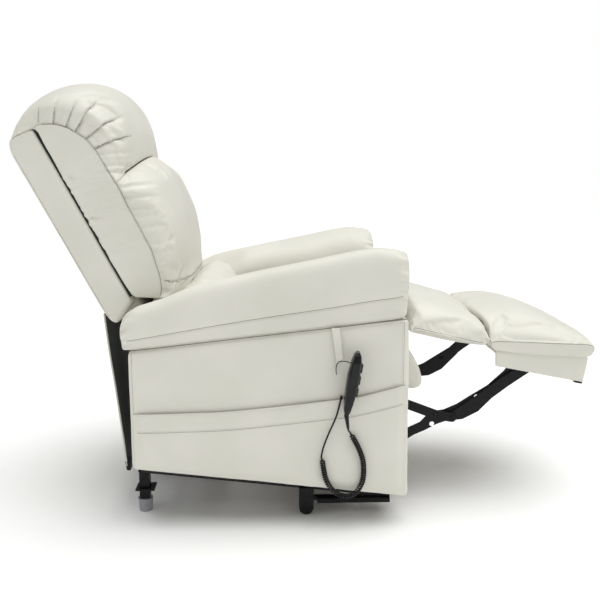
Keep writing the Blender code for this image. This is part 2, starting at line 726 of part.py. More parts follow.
def footrest_side(side):
    plate("footrest_drive_link", [A_SEAT, A_CROSS, A_TIP], LINK_A_X, side, "footrest_drive",
          holes=[A_CROSS, A_TIP],
          pins=[(A_SEAT, LINK_A_X + 0.001, SIDE_PLATE_X + PLATE + 0.0035, PIN_RADIUS)])
    plate("footrest_guide_link", [B_SEAT, C_TAIL], LINK_B_X, side, "footrest_guide",
          holes=[C_TAIL],
          pins=[(B_SEAT, LINK_B_X + 0.001, SIDE_PLATE_X + PLATE + 0.0035, PIN_RADIUS),
                (B_SEAT, LINK_B_X + 0.001, SIDE_PLATE_X - 0.001, 0.009)])
    plate("footrest_long_link", LONG_LINK_CENTRES, LINK_C_X, side, "footrest_long",
          holes=[C_TAIL, (-0.434, 0.226), (-0.557, 0.303)],
          pins=[(A_CROSS, LINK_C_X + 0.001, LINK_A_X + PLATE + 0.0012, PIN_RADIUS),
                (C_FOOT, LINK_C_X + 0.001, 0.2185, 0.005)], half_width=LONG_LINK_WIDTHS)
    plate("footrest_balance_link", BALANCE_LINK_CENTRES, LINK_D_X, side,
          "footrest_balance", holes=[D_FOOT], half_width=BALANCE_LINK_WIDTHS,
          pins=[(A_TIP, LINK_D_X + 0.001, LINK_A_X + PLATE + 0.0012, PIN_RADIUS)])


def footrest_shaft():
    """Torque shaft between the drive links, with the crank that the leg rod pushes."""
    reach = LINK_A_X - GAP
    shaft = pin("footrest_shaft", A_SEAT, -reach, reach, 0.010, "footrest_drive", black_steel)
    crank = prism("footrest_crank", strap_outline([A_SEAT, LEG_PUSH], 0.011), LEG_MOTOR_X + 0.0130,
                  LEG_MOTOR_X + 0.0180, "footrest_drive")
    combine(shaft, "UNION", crank)


def ottoman_board():
    """Wrapped board under the footrest pad, with a slot at each side for the links."""
    outline = [(-0.602, 0.3940), (-0.849, 0.3450), (-0.860, 0.412), (-0.852, 0.430), (-0.600, 0.440)]
    slot_outline = [(-0.585, 0.330), (-0.775, 0.330), (-0.775, 0.4225), (-0.585, 0.4225)]
    board = prism("ottoman_board", outline, -0.2455, 0.2455, "ottoman", upholstery)
    for side in (-1, 1):
        reach = sorted((side * 0.2245, side * 0.2395))
        slot = prism(f"ottoman_slot_{side}", slot_outline, *reach, "ottoman")
        hole = pin(f"ottoman_hole_{side}", C_FOOT, side * 0.2180, side * 0.228, 0.0060, "ottoman")
        combine(board, "DIFFERENCE", slot, hole)


def footrest_pads():
    ottoman = [(-0.602, 0.4405), (-0.852, 0.4305), (-0.869, 0.446), (-0.866, 0.468), (-0.840, 0.486),
               (-0.780, 0.513),
               (-0.710, 0.541), (-0.650, 0.551), (-0.615, 0.543), (-0.598, 0.515), (-0.595, 0.470)]
    soften(prism("ottoman_pad", ottoman, -FOOTREST_HALF, FOOTREST_HALF, "ottoman", upholstery), 0.020)
    leg = [(-0.366, 0.493), (-0.445, 0.475), (-0.568, 0.455), (-0.583, 0.470), (-0.585, 0.510),
           (-0.570, 0.532),
           (-0.530, 0.541), (-0.480, 0.556), (-0.420, 0.580), (-0.372, 0.588)]
    soften(prism("leg_pad", leg, -FOOTREST_HALF, FOOTREST_HALF, "leg_pad", upholstery), 0.020)


# ---------------------------------------------------------------- seat cushion
def seat_cushion():
    outline = [(-0.326, 0.3870), (0.050, 0.3870), (0.058, 0.420), (0.052, 0.500), (0.020, 0.528),
               (-0.150, 0.548),
               (-0.290, 0.572), (-0.340, 0.572), (-0.356, 0.545), (-0.356, 0.500), (-0.352, 0.4720),
               (-0.326, 0.4720)]
    soften(prism("seat_cushion", outline, -CUSHION_HALF, CUSHION_HALF, "chair", upholstery), 0.016, 2)


# ---------------------------------------------------------------- handset
def handset_point(x, along, forward):
    """A place on the handset: along it from its top, forward of its middle plane."""
    return HANDSET_TOP.lerp(HANDSET_BOTTOM, along) + handset_forward() * forward + Vector((x, 0, 0))


def handset():
    """Slim shell with a flat front, a rounded back and three recesses for its rockers."""
    sections = [(0.00, 0.0040, 0.60), (0.05, 0.0090, 0.85), (0.16, 0.0128, 1.0), (0.38, 0.0160, 1.0),
                (0.60, 0.0150, 1.0),
                (0.82, 0.0115, 0.94), (0.94, 0.0085, 0.78), (1.00, 0.0060, 0.55)]
    data = bmesh.new()
    rings = []
    steps = 14
    for along, half_depth, width_share in sections:
        ring = []
        for step in range(steps):
            angle = 2 * math.pi * step / steps
            across = abs(math.cos(angle)) ** 0.6 * math.copysign(HANDSET_WIDTH / 2 * width_share,
                                                                 math.cos(angle))
            deep = abs(math.sin(angle)) ** 0.6 * math.copysign(half_depth, math.sin(angle))
            ring.append(data.verts.new(handset_point(across, along, deep)))
        rings.append(ring)
    data.faces.new(rings[0])
    data.faces.new(rings[-1])
    for first, second in zip(rings, rings[1:]):
        for step in range(steps):
            following = (step + 1) % steps
            data.faces.new((first[step], first[following], second[following], second[step]))
    shell = smooth(add_mesh("handset", data, "chair", black_plastic), 50)
    for index in range(3):
        recess = rocker_block(f"handset_recess_{index + 1}", index, 0.0140, 0.0122, 0.0055, 0.0300, "chair")
        combine(shell, "DIFFERENCE", recess)


def rocker_block(name, index, half_width, half_length, inner, outer, body, coat=None):
    """A block across the handset's front, from `inner` to `outer` forward of its middle plane."""
    length = (HANDSET_BOTTOM - HANDSET_TOP).length
    share = half_length / length
    along = 0.24 + 0.19 * index
    data = bmesh.new()
    corners = []
    for forward in (inner, outer):
        for across, lift in ((-1, -1), (1, -1), (1, 1), (-1, 1)):
            corners.append(data.verts.new(handset_point(across * half_width, along + lift * share, forward)))
    faces = [(0, 1, 2, 3), (4, 5, 6, 7), (0, 1, 5, 4), (1, 2, 6, 5), (2, 3, 7, 6), (3, 0, 4, 7)]
    for face in faces:
        data.faces.new([corners[corner] for corner in face])
    return add_mesh(name, data, body, coat)


def rockers():
    for index in range(3):
        rocker = rocker_block(f"handset_rocker_{index + 1}", index, 0.0130, 0.0105, 0.0085, 0.0170,
                              f"rocker_{index + 1}", grey_plastic)
        soften(rocker, 0.0012, 2, "ANGLE")


def strap_and_relief():
    """Loop of binding that hangs from the arm seam, and the boot where the cord leaves the handset."""
    bar("handset_strap", (-0.4000, -0.148, 0.531), (-0.4020, -0.160, 0.448), 0.0022, 0.0190, "chair",
        upholstery)
    start = HANDSET_BOTTOM + (HANDSET_BOTTOM - HANDSET_TOP).normalized() * 0.0018
    rod("cord_boot", start, (-0.4275, -0.1797, 0.2845), 0.0060, "chair", black_plastic, end_radius=0.0034,
        segments=12)


def handset_cord():
    cord("cord_upper", CORD_TOP_ROUTE, CORD_DIAMETER, 0.006, 2)
    cord("cord_coil", COIL_ROUTE, COIL_DIAMETER, 0.012, 2)
    cord("cord_lower", CORD_END_ROUTE, CORD_DIAMETER, 0.011, 2)


# ---------------------------------------------------------------- the whole chair
def build():
    for side in (-1, 1):
        base_side(side)
        castor_wheel(side)
        levelling_glide(side)
        lift_link("lift_arm", LIFT_BASE, LIFT_SEAT, LIFT_ARM_X, side, "lift_arms", RUNNING_CLEARANCE)
        lift_link("lift_guide", GUIDE_BASE, GUIDE_SEAT, LIFT_GUIDE_X, side, "lift_guides", OPEN_CLEARANCE)
        seat_side_plate(side)
        arm_panel(side)
        arm_pad(side)
        back_bracket(side)
        footrest_side(side)
    base_front_beam()
    base_rear_beam()
    lift_cross_tube()
    actuator("lift", LIFT_MOTOR, LIFT_PUSH, LIFT_MOTOR_X, 0.090, (0.020, 0.050, 0.0165, 0.009, 0.235),
             0.0275, 0.035)
    actuator("leg", LEG_MOTOR, LEG_PUSH, LEG_MOTOR_X, 0.090, (0.022, 0.050, 0.0165, 0.009, 0.400), 0.0280,
             0.130)
    actuator("back", BACK_MOTOR, BACK_PUSH, BACK_MOTOR_X, 0.080, (0.018, 0.044, 0.0150, 0.008, 0.245),
             0.0245, 0.040)
    seat_tubes()
    seat_deck()
    power_box()
    front_rail_pad()
    side_pocket()
    seat_cushion()
    back_shell()
    back_cushions()
    rear_flap()
    footrest_shaft()
    ottoman_board()
    footrest_pads()
    handset()
    rockers()
    strap_and_relief()
    handset_cord()


clear_scene()
EMPTIES = make_bodies()
build()
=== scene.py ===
import json
import math

import bmesh
import bpy
import numpy as np
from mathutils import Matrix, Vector, noise


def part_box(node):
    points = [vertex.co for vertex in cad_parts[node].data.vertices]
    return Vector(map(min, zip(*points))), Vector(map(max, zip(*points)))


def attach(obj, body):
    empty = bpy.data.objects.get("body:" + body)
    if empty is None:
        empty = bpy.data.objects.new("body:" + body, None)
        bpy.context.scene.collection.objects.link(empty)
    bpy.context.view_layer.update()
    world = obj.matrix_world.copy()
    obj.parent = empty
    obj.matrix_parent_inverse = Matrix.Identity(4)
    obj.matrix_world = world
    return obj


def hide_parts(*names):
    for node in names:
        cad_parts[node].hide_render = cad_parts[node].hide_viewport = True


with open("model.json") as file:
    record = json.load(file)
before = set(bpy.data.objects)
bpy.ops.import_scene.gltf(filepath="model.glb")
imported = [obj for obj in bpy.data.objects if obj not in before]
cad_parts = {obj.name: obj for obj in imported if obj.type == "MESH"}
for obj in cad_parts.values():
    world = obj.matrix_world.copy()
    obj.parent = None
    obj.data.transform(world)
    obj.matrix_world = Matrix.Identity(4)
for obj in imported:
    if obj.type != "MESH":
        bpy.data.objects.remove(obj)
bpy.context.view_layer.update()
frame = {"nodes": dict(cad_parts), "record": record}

# The shapes below are drawn with x = 0 in the chair's middle; SHIFT moves them into the frame.
SHIFT = Vector((0.0233, 0.1069, 0.0))
NODES = frame["nodes"]

WING_HALF = 0.303
WING_INSET = 0.006
ARM_FACE = 0.392
RIGHT, LEFT = -1, 1


# ---------------------------------------------------------------- small helpers
def place(x, y, z):
    return Vector((x, y, z)) + SHIFT


def link_object(name, data):
    obj = bpy.data.objects.new(name, data)
    bpy.context.scene.collection.objects.link(obj)
    return obj


def apply_modifiers(obj):
    """Bakes every modifier into the mesh."""
    graph = bpy.context.evaluated_depsgraph_get()
    graph.update()
    mesh = bpy.data.meshes.new_from_object(obj.evaluated_get(graph))
    old = obj.data
    obj.modifiers.clear()
    obj.data = mesh
    bpy.data.meshes.remove(old)


def shade(obj, degrees=None):
    obj.data.shade_smooth()
    if degrees is not None:
        obj.data.set_sharp_from_angle(angle=math.radians(degrees))


def vertex_data(mesh, field):
    out = np.empty(len(mesh.vertices) * 3)
    mesh.vertices.foreach_get(field, out)
    return out.reshape(-1, 3)


def coords(mesh):
    return vertex_data(mesh, "co")


def set_coords(mesh, points):
    mesh.vertices.foreach_set("co", np.asarray(points, float).ravel())
    mesh.update()


def spline(points, count):
    """Points at equal steps along a Catmull-Rom curve."""
    p = np.array(points, float)
    p = np.vstack([2 * p[0] - p[1], p, 2 * p[-1] - p[-2]])
    dense = []
    for i in range(1, len(p) - 2):
        t = np.linspace(0, 1, 24, endpoint=False)[:, None]
        a, b, c, d = p[i - 1], p[i], p[i + 1], p[i + 2]
        dense.append(0.5 * (2 * b + (c - a) * t + (2 * a - 5 * b + 4 * c - d) * t**2
                            + (3 * b - a - 3 * c + d) * t**3))
    dense = np.vstack(dense + [p[-2][None]])
    steps = np.r_[0, np.cumsum(np.linalg.norm(np.diff(dense, axis=0), axis=1))]
    wanted = np.linspace(0, steps[-1], count)
    return np.stack([np.interp(wanted, steps, dense[:, k]) for k in range(dense.shape[1])], 1)


def along(curve, share):
    """Points of a resampled curve at the given shares of its length."""
    at = np.clip(share, 0, 1) * (len(curve) - 1)
    return np.stack([np.interp(at, np.arange(len(curve)), curve[:, k]) for k in range(curve.shape[1])], 1)


def smoothstep(value, low, high):
    t = np.clip((value - low) / (high - low), 0, 1)
    return t * t * (3 - 2 * t)


def bell(value, width):
    return np.exp(-((value / width) ** 2))


def side_word(side):
    return "right" if side == RIGHT else "left"


def wrinkles(points, scale, seed):
    """Smooth noise at each point; scale gives the wavelength along x, y and z."""
    offset = Vector((seed, seed * 0.7, -seed))
    return np.array([noise.noise(Vector((p[0] / scale[0], p[1] / scale[1], p[2] / scale[2])) + offset)
                     for p in points])


# ---------------------------------------------------------------- materials
def new_material(name, colour, roughness, specular=0.5, metallic=0.0, coat=0.0, sheen=0.0):
    mat = bpy.data.materials.new(name)
    mat.use_nodes = True
    shader = mat.node_tree.nodes["Principled BSDF"]
    shader.inputs["Base Color"].default_value = (*colour, 1)
    shader.inputs["Roughness"].default_value = roughness
    shader.inputs["Specular IOR Level"].default_value = specular
    shader.inputs["Metallic"].default_value = metallic
    shader.inputs["Coat Weight"].default_value = coat
    shader.inputs["Sheen Weight"].default_value = sheen
    return mat, mat.node_tree, shader


def add_node(tree, kind, **values):
    node = tree.nodes.new(kind)
    for key, value in values.items():
        if key in node.inputs:
            node.inputs[key].default_value = value
        else:
            setattr(node, key, value)
    return node


def tint(tree, shader, source, low, high, colour_low, colour_high):
    """Base colour runs between two colours with a texture's value."""
    ramp = add_node(tree, "ShaderNodeValToRGB")
    ramp.color_ramp.elements[0].position = low
    ramp.color_ramp.elements[1].position = high
    ramp.color_ramp.elements[0].color = (*colour_low, 1)
    ramp.color_ramp.elements[1].color = (*colour_high, 1)
    tree.links.new(source, ramp.inputs[0])
    tree.links.new(ramp.outputs[0], shader.inputs["Base Color"])


def roughen(tree, shader, source, low, high):
    spread = add_node(tree, "ShaderNodeMapRange")
    spread.inputs["To Min"].default_value = low
    spread.inputs["To Max"].default_value = high
    tree.links.new(source, spread.inputs["Value"])
    tree.links.new(spread.outputs["Result"], shader.inputs["Roughness"])


def bumps(tree, shader, *layers):
    """Chains bump nodes: each layer is (height output, strength, distance)."""
    previous = None
    for source, strength, distance in layers:
        bump = add_node(tree, "ShaderNodeBump", Strength=strength, Distance=distance)
        tree.links.new(source, bump.inputs["Height"])
        if previous:
            tree.links.new(previous.outputs["Normal"], bump.inputs["Normal"])
        previous = bump
    tree.links.new(previous.outputs["Normal"], shader.inputs["Normal"])


def noise_texture(tree, vector, scale, detail=2.0, roughness=0.5):
    node = add_node(tree, "ShaderNodeTexNoise", Scale=scale, Detail=detail, Roughness=roughness)
    tree.links.new(vector, node.inputs["Vector"])
    return node.outputs["Fac"]


def object_space(tree):
    return add_node(tree, "ShaderNodeTexCoord").outputs["Object"]


def leather(name, colour, shaded, roughness=0.46):
    """Coated faux leather: pebbled grain, faint pull lines and slow changes of tone."""
    mat, tree, shader = new_material(name, colour, roughness, 0.42, sheen=0.08)
    shader.inputs["Sheen Roughness"].default_value = 0.5
    space = object_space(tree)
    tone = noise_texture(tree, space, 5.5, 3.0)
    tint(tree, shader, tone, 0.35, 0.65, shaded, colour)
    cells = add_node(tree, "ShaderNodeTexVoronoi", Scale=620.0)
    cells.feature = "SMOOTH_F1"
    tree.links.new(space, cells.inputs["Vector"])
    pull = noise_texture(tree, space, 90.0, 3.0, 0.6)
    roughen(tree, shader, noise_texture(tree, space, 38.0, 2.0), roughness - 0.06, roughness + 0.08)
    bumps(tree, shader, (pull, 0.1, 0.0012), (cells.outputs["Distance"], 0.16, 0.0005))
    return mat


def woven_thread(name, colour):
    mat, tree, shader = new_material(name, colour, 0.7, 0.3, sheen=0.2)
    space = object_space(tree)
    wave = add_node(tree, "ShaderNodeTexWave", Scale=900.0, Distortion=1.5)
    tree.links.new(space, wave.inputs["Vector"])
    tint(tree, shader, wave.outputs["Fac"], 0.2, 0.9, tuple(c * 0.8 for c in colour), colour)
    bumps(tree, shader, (wave.outputs["Fac"], 0.4, 0.0003))
    return mat


def enamel(name, colour, roughness):
    """Black paint on steel: slight orange peel, dust in the tone and scuffed roughness."""
    mat, tree, shader = new_material(name, colour, roughness, 0.16)
    space = object_space(tree)
    dust = noise_texture(tree, space, 26.0, 4.0, 0.65)
    tint(tree, shader, dust, 0.35, 0.85, colour, tuple(c * 1.7 + 0.002 for c in colour))
    roughen(tree, shader, dust, roughness - 0.08, roughness + 0.15)
    bumps(tree, shader, (noise_texture(tree, space, 420.0, 2.0), 0.12, 0.0006))
    return mat


def moulded(name, colour, roughness, coat=0.0):
    """Moulded plastic with a fine spark texture."""
    mat, tree, shader = new_material(name, colour, roughness, 0.2, coat=coat)
    shader.inputs["Coat Roughness"].default_value = 0.06
    space = object_space(tree)
    tone = noise_texture(tree, space, 30.0, 3.0)
    tint(tree, shader, tone, 0.3, 0.75, colour, tuple(c * 1.35 + 0.002 for c in colour))
    roughen(tree, shader, tone, roughness - 0.03, roughness + 0.06)
    bumps(tree, shader, (noise_texture(tree, space, 900.0, 2.0), 0.1, 0.0003))
    return mat


def brushed(name, colour):
    mat, tree, shader = new_material(name, colour, 0.3, 0.5, metallic=1.0)
    space = object_space(tree)
    stretch = add_node(tree, "ShaderNodeMapping", Scale=(900.0, 30.0, 900.0))
    tree.links.new(space, stretch.inputs["Vector"])
    lines = noise_texture(tree, stretch.outputs["Vector"], 1.0, 3.0)
    roughen(tree, shader, lines, 0.22, 0.42)
    bumps(tree, shader, (lines, 0.15, 0.0003))
    tint(tree, shader, lines, 0.3, 0.8, tuple(c * 0.8 for c in colour), colour)
    return mat


def plywood_material():
    mat, tree, shader = new_material("plywood_board", (0.52, 0.38, 0.22), 0.65, 0.3)
    space = object_space(tree)
    stretch = add_node(tree, "ShaderNodeMapping", Scale=(6.0, 60.0, 60.0))
    tree.links.new(space, stretch.inputs["Vector"])
    grain = noise_texture(tree, stretch.outputs["Vector"], 1.0, 5.0, 0.6)
    tint(tree, shader, grain, 0.35, 0.7, (0.36, 0.24, 0.12), (0.62, 0.47, 0.29))
    bumps(tree, shader, (grain, 0.25, 0.001))
    return mat


IVORY = (0.74, 0.728, 0.652)
IVORY_SHADE = (0.695, 0.686, 0.608)
M = {
    "leather": leather("ivory_leather", IVORY, IVORY_SHADE),
    "piping": leather("ivory_piping", (0.7, 0.685, 0.63), (0.64, 0.63, 0.57), 0.5),
    # seam: near-black leather for the lines laid along seams and pleats, painted shadow of their grooves
    "seam": leather("seam_shadow", (0.24, 0.235, 0.2), (0.2, 0.195, 0.165), 0.7),
    "thread": woven_thread("ivory_thread", (0.62, 0.6, 0.53)),
    # near black: painted shade for the flap's inside and the gap beside the back
    "painted_shade_black": leather("flap_painted_shade", (0.022, 0.03, 0.026), (0.014, 0.02, 0.018), 0.7),
    "black_steel": enamel("black_enamel", (0.007, 0.007, 0.008), 0.34),
    "black_plastic": moulded("black_plastic", (0.012, 0.012, 0.013), 0.42),
    "grey_plastic": moulded("grey_plastic", (0.3, 0.3, 0.33), 0.45),
    "rocker_grey": moulded("rocker_grey", (0.02, 0.02, 0.022), 0.35),
    "handset_black": moulded("handset_gloss", (0.006, 0.006, 0.007), 0.2, coat=0.12),
    "cord_black": moulded("cord_rubber", (0.011, 0.011, 0.012), 0.38),
    "bright_steel": brushed("brushed_rod", (0.6, 0.6, 0.6)),
    "plywood": plywood_material(),
    "floor": new_material("studio_floor", (0.97, 0.97, 0.965), 1.0, 0.0)[0],
}
UPHOLSTERY = "upholstery"


def finish_piece(obj, material, body, replaced=()):
    obj.data.materials.clear()
    obj.data.materials.append(M[material])
    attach(obj, body)
    if replaced:
        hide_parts(*replaced)
    return obj


# ---------------------------------------------------------------- camera, floor and light
CAMERA_PLACE = (-2.2, 0.0, 0.9125)
CAMERA_LENS = 44.4
CAMERA_YAW, CAMERA_PITCH = 1.9, 9.6
FLOOR_HALF = 14.0
AMBIENT = 0.38
SUN_POWER, SUN_ANGLE, SUN_TRAVEL = 2.65, 64, Vector((0.06, 0.2, -1.0))
FILL_POWER, FILL_SIZE = 1.5, 2.2
FILL_PLACE, FILL_TARGET = Vector((-3.2, -1.2, 1.9)), Vector((0.0, 0.0, 0.6))


def make_camera():
    data = bpy.data.cameras.new("camera")
    data.sensor_width = 36.0
    data.lens = CAMERA_LENS
    data.clip_end = 100.0
    camera = link_object("camera", data)
    yaw, pitch = math.radians(CAMERA_YAW), math.radians(CAMERA_PITCH)
    forward = Vector((math.cos(yaw) * math.cos(pitch), -math.sin(yaw) * math.cos(pitch), -math.sin(pitch)))
    camera.location = place(*CAMERA_PLACE)
    camera.rotation_euler = forward.to_track_quat("-Z", "Y").to_euler()
    bpy.context.scene.camera = camera


def make_stage():
    corners = [(-1, -1), (1, -1), (1, 1), (-1, 1)]
    mesh = bpy.data.meshes.new("floor")
    mesh.from_pydata([(FLOOR_HALF * x, FLOOR_HALF * y, 0) for x, y in corners], [], [(0, 1, 2, 3)])
    floor = link_object("floor", mesh)
    floor.location = (0, 0, -0.0005)
    floor.data.materials.append(M["floor"])


def add_lamp(name, kind, power, travel):
    lamp = bpy.data.lights.new(name, kind)
    lamp.energy = power
    holder = link_object(name, lamp)
    holder.rotation_euler = travel.to_track_quat("-Z", "Y").to_euler()
    return lamp, holder


def make_light():
    """A white studio: soft light from all round, seen as pure white, and a wide soft light from overhead."""
    scene = bpy.context.scene
    scene.view_settings.view_transform = "Standard"
    world = bpy.data.worlds.new("studio")
    scene.world = world
    world.use_nodes = True
    tree = world.node_tree
    background = tree.nodes["Background"]
    background.inputs["Color"].default_value = (1.0, 1.0, 1.0, 1)
    rays = add_node(tree, "ShaderNodeLightPath")
    strength = add_node(tree, "ShaderNodeMapRange")
    strength.inputs["To Min"].default_value = AMBIENT
    strength.inputs["To Max"].default_value = 1.0
    tree.links.new(rays.outputs["Is Camera Ray"], strength.inputs["Value"])
    tree.links.new(strength.outputs["Result"], background.inputs["Strength"])
    lamp, _ = add_lamp("overhead", "SUN", SUN_POWER, SUN_TRAVEL)
    lamp.angle = math.radians(SUN_ANGLE)
    lamp, holder = add_lamp("fill", "AREA", FILL_POWER, FILL_TARGET - FILL_PLACE)
    lamp.shape = "DISK"
    lamp.size = FILL_SIZE
    holder.location = FILL_PLACE


# ---------------------------------------------------------------- handset cord
CORD_DIAMETER = 0.0047
COIL_DIAMETER = 0.015
COIL_PITCH = 0.0062
STEPS_PER_TURN = 14
CORD_TOP_ROUTE = [
    (-0.4275, -0.1798, 0.2841), (-0.4272, -0.1804, 0.2798), (-0.4205, -0.183, 0.2745),
    (-0.4136, -0.1861, 0.2696), (-0.413, -0.1888, 0.2643),
]
COIL_ROUTE = [
    (-0.413, -0.189, 0.264), (-0.411, -0.209, 0.225), (-0.411, -0.221, 0.186),
    (-0.411, -0.219, 0.135), (-0.411, -0.195, 0.101), (-0.411, -0.158, 0.102),
    (-0.411, -0.128, 0.137), (-0.411, -0.115, 0.198),
]
CORD_END_ROUTE = [
    (-0.411, -0.1149, 0.1986), (-0.411, -0.1138, 0.2048), (-0.411, -0.119, 0.23),
    (-0.411, -0.133, 0.268), (-0.411, -0.15, 0.308), (-0.4095, -0.16, 0.345),
    (-0.406, -0.1625, 0.356), (-0.4, -0.1645, 0.3605), (-0.3955, -0.166, 0.354),
    (-0.3953, -0.167, 0.334),
]


def coil_points():
    """A helix round the coil's route that opens from the line and closes back on to it."""
    line = spline(COIL_ROUTE, 400)
    length = np.linalg.norm(np.diff(line, axis=0), axis=1).sum()
    turns = int(length / COIL_PITCH)
    count = turns * STEPS_PER_TURN + 1
    line = spline(COIL_ROUTE, count)
    heading = np.gradient(line, axis=0)
    heading /= np.linalg.norm(heading, axis=1)[:, None]
    side = np.tile([1.0, 0.0, 0.0], (count, 1))
    side -= heading * (side * heading).sum(1)[:, None]
    side /= np.linalg.norm(side, axis=1)[:, None]
    up = np.cross(heading, side)
    share = np.linspace(0, 1, count)
    ends = np.minimum(share, 1 - share) * turns
    radius = (COIL_DIAMETER - CORD_DIAMETER) / 2 * smoothstep(ends, 0.0, 1.0)
    angle = 2 * math.pi * turns * share
    return line + side * (radius * np.cos(angle))[:, None] + up * (radius * np.sin(angle))[:, None]


def make_cord():
    first = spline(CORD_TOP_ROUTE, 16)
    last = spline(CORD_END_ROUTE, 60)
    points = np.vstack([last[::-1], coil_points()[::-1][1:-1], first[::-1]])
    data = bpy.data.curves.new("handset_cord", "CURVE")
    data.dimensions = "3D"
    data.bevel_depth = CORD_DIAMETER / 2
    data.bevel_resolution = 2
    data.use_fill_caps = True
    line = data.splines.new("POLY")
    line.points.add(len(points) - 1)
    world = points + np.array(SHIFT)
    for target, point in zip(line.points, world):
        target.co = (*point, 1)
    cord = link_object("handset_cord", data)
    finish_piece(cord, "cord_black", "chair", ("cord_upper", "cord_coil", "cord_lower"))


make_camera()
make_stage()
make_light()
make_cord()


# ---------------------------------------------------------------- mesh makers
CLOTH_FRAMES = 20
CLOTH = {
    "use_pressure": True, "uniform_pressure_force": 3.0, "vertex_group_mass": "held", "pin_stiffness": 1.0,
    "quality": 5, "mass": 0.3, "tension_stiffness": 25.0, "compression_stiffness": 25.0,
    "shear_stiffness": 8.0, "bending_stiffness": 0.6,
}


def fix_normals(mesh):
    edit = bmesh.new()
    edit.from_mesh(mesh)
    bmesh.ops.recalc_face_normals(edit, faces=edit.faces)
    edit.to_mesh(mesh)
    edit.free()


def grid_box(name, counts, position):
    """Closed mesh over a box's six faces. position(a, b, c), each from 0 to 1, gives the points.
    The three shares stay on the vertices as attributes, for seams and pleats."""
    index, keys, faces = {}, [], []

    def vertex(key):
        if key not in index:
            index[key] = len(keys)
            keys.append(key)
        return index[key]

    for axis in range(3):
        u, v = (axis + 1) % 3, (axis + 2) % 3
        for end in (0, counts[axis]):
            for i in range(counts[u]):
                for j in range(counts[v]):
                    quad = []
                    for di, dj in ((0, 0), (1, 0), (1, 1), (0, 1)):
                        key = [0, 0, 0]
                        key[axis], key[u], key[v] = end, i + di, j + dj
                        quad.append(vertex(tuple(key)))
                    faces.append(quad if end else quad[::-1])
    shares = np.array(keys, float) / np.array(counts)
    points = position(*shares.T)
    mesh = bpy.data.meshes.new(name)
    mesh.from_pydata((points + np.array(SHIFT)).tolist(), [], faces)
    for letter, values in zip("abc", shares.T):
        mesh.attributes.new("share_" + letter, "FLOAT", "POINT").data.foreach_set("value", values)
    obj = link_object(name, mesh)
    fix_normals(mesh)
    return obj


def shares_of(mesh):
    out = []
    for letter in "abc":
        values = np.empty(len(mesh.vertices))
        mesh.attributes["share_" + letter].data.foreach_get("value", values)
        out.append(values)
    return out


def swell(obj, excess, cap):
    """Cloth under pressure: only the cushion's face is free, and its points move at most cap."""
    a, b, c = shares_of(obj.data)
    free = (c > 0.999) & (a > 0.004) & (a < 0.996) & (b > 0.004) & (b < 0.996)
    group = obj.vertex_groups.new(name="held")
    group.add(np.nonzero(~free)[0].tolist(), 1.0, "REPLACE")
    start = coords(obj.data)
    cloth = obj.modifiers.new("cloth", "CLOTH")
    for key, value in CLOTH.items():
        setattr(cloth.settings, key, value)
    cloth.settings.shrink_min = -excess
    cloth.settings.effector_weights.gravity = 0.0
    cloth.collision_settings.use_collision = False
    cloth.point_cache.frame_start = 1
    cloth.point_cache.frame_end = CLOTH_FRAMES
    scene = bpy.context.scene
    for step in range(1, CLOTH_FRAMES + 1):
        scene.frame_set(step)
    moved = coords(obj.evaluated_get(bpy.context.evaluated_depsgraph_get()).data)
    obj.modifiers.clear()
    obj.vertex_groups.clear()
    shift = moved - start
    keep = np.minimum(1.0, cap / np.maximum(np.linalg.norm(shift, axis=1), 1e-9))
    set_coords(obj.data, start + shift * keep[:, None])
    scene.frame_set(1)


def subdivide(obj):
    modifier = obj.modifiers.new("subdivide", "SUBSURF")
    modifier.levels = modifier.render_levels = 1
    apply_modifiers(obj)


def push(obj, amounts):
    """Moves each vertex along its normal."""
    mesh = obj.data
    set_coords(mesh, coords(mesh) + vertex_data(mesh, "normal") * np.asarray(amounts)[:, None])


def upholster(obj, body, amounts=None, node=None):
    """Presses folds into a soft piece, and gives it its leather and body."""
    if amounts is not None:
        push(obj, amounts)
    shade(obj)
    finish_piece(obj, "leather", body, replaced=(node,) if node else ())


def relax(obj, rounds):
    edit = bmesh.new()
    edit.from_mesh(obj.data)
    for _ in range(rounds):
        bmesh.ops.smooth_vert(edit, verts=edit.verts, factor=0.5, use_axis_x=True, use_axis_y=True,
                              use_axis_z=True)
    edit.to_mesh(obj.data)
    edit.free()


def slab(name, outline, x_low, x_high, bevel=0.01, voxel=0.006, smooth_rounds=4):
    """Solid from a (y, z) outline swept along x, remeshed to even quads with soft edges."""
    edit = bmesh.new()
    rings = [[edit.verts.new(place(x, y, z)) for y, z in outline] for x in (x_low, x_high)]
    edit.faces.new(rings[0])
    edit.faces.new(rings[1][::-1])
    for k in range(len(outline)):
        n = (k + 1) % len(outline)
        edit.faces.new((rings[0][k], rings[1][k], rings[1][n], rings[0][n]))
    bmesh.ops.recalc_face_normals(edit, faces=edit.faces)
    mesh = bpy.data.meshes.new(name)
    edit.to_mesh(mesh)
    edit.free()
    obj = link_object(name, mesh)
    rounded = obj.modifiers.new("bevel", "BEVEL")
    rounded.width = bevel
    rounded.segments = 3
    rounded.limit_method = "ANGLE"
    remesh = obj.modifiers.new("remesh", "REMESH")
    remesh.mode = "VOXEL"
    remesh.voxel_size = voxel
    apply_modifiers(obj)
    relax(obj, smooth_rounds)
    return obj


def tube(name, path, radius, material, body):
    """Round line through world points, as a mesh."""
    data = bpy.data.curves.new(name, "CURVE")
    data.dimensions = "3D"
    data.bevel_depth = radius
    data.bevel_resolution = 1
    data.use_fill_caps = True
    line = data.splines.new("POLY")
    line.points.add(len(path) - 1)
    for target, point in zip(line.points, path):
        target.co = (*point, 1)
    curve = link_object(name, data)
    graph = bpy.context.evaluated_depsgraph_get()
    graph.update()
    mesh = bpy.data.meshes.new_from_object(curve.evaluated_get(graph))
    bpy.data.objects.remove(curve)
    obj = link_object(name, mesh)
    shade(obj)
    finish_piece(obj, material, body)


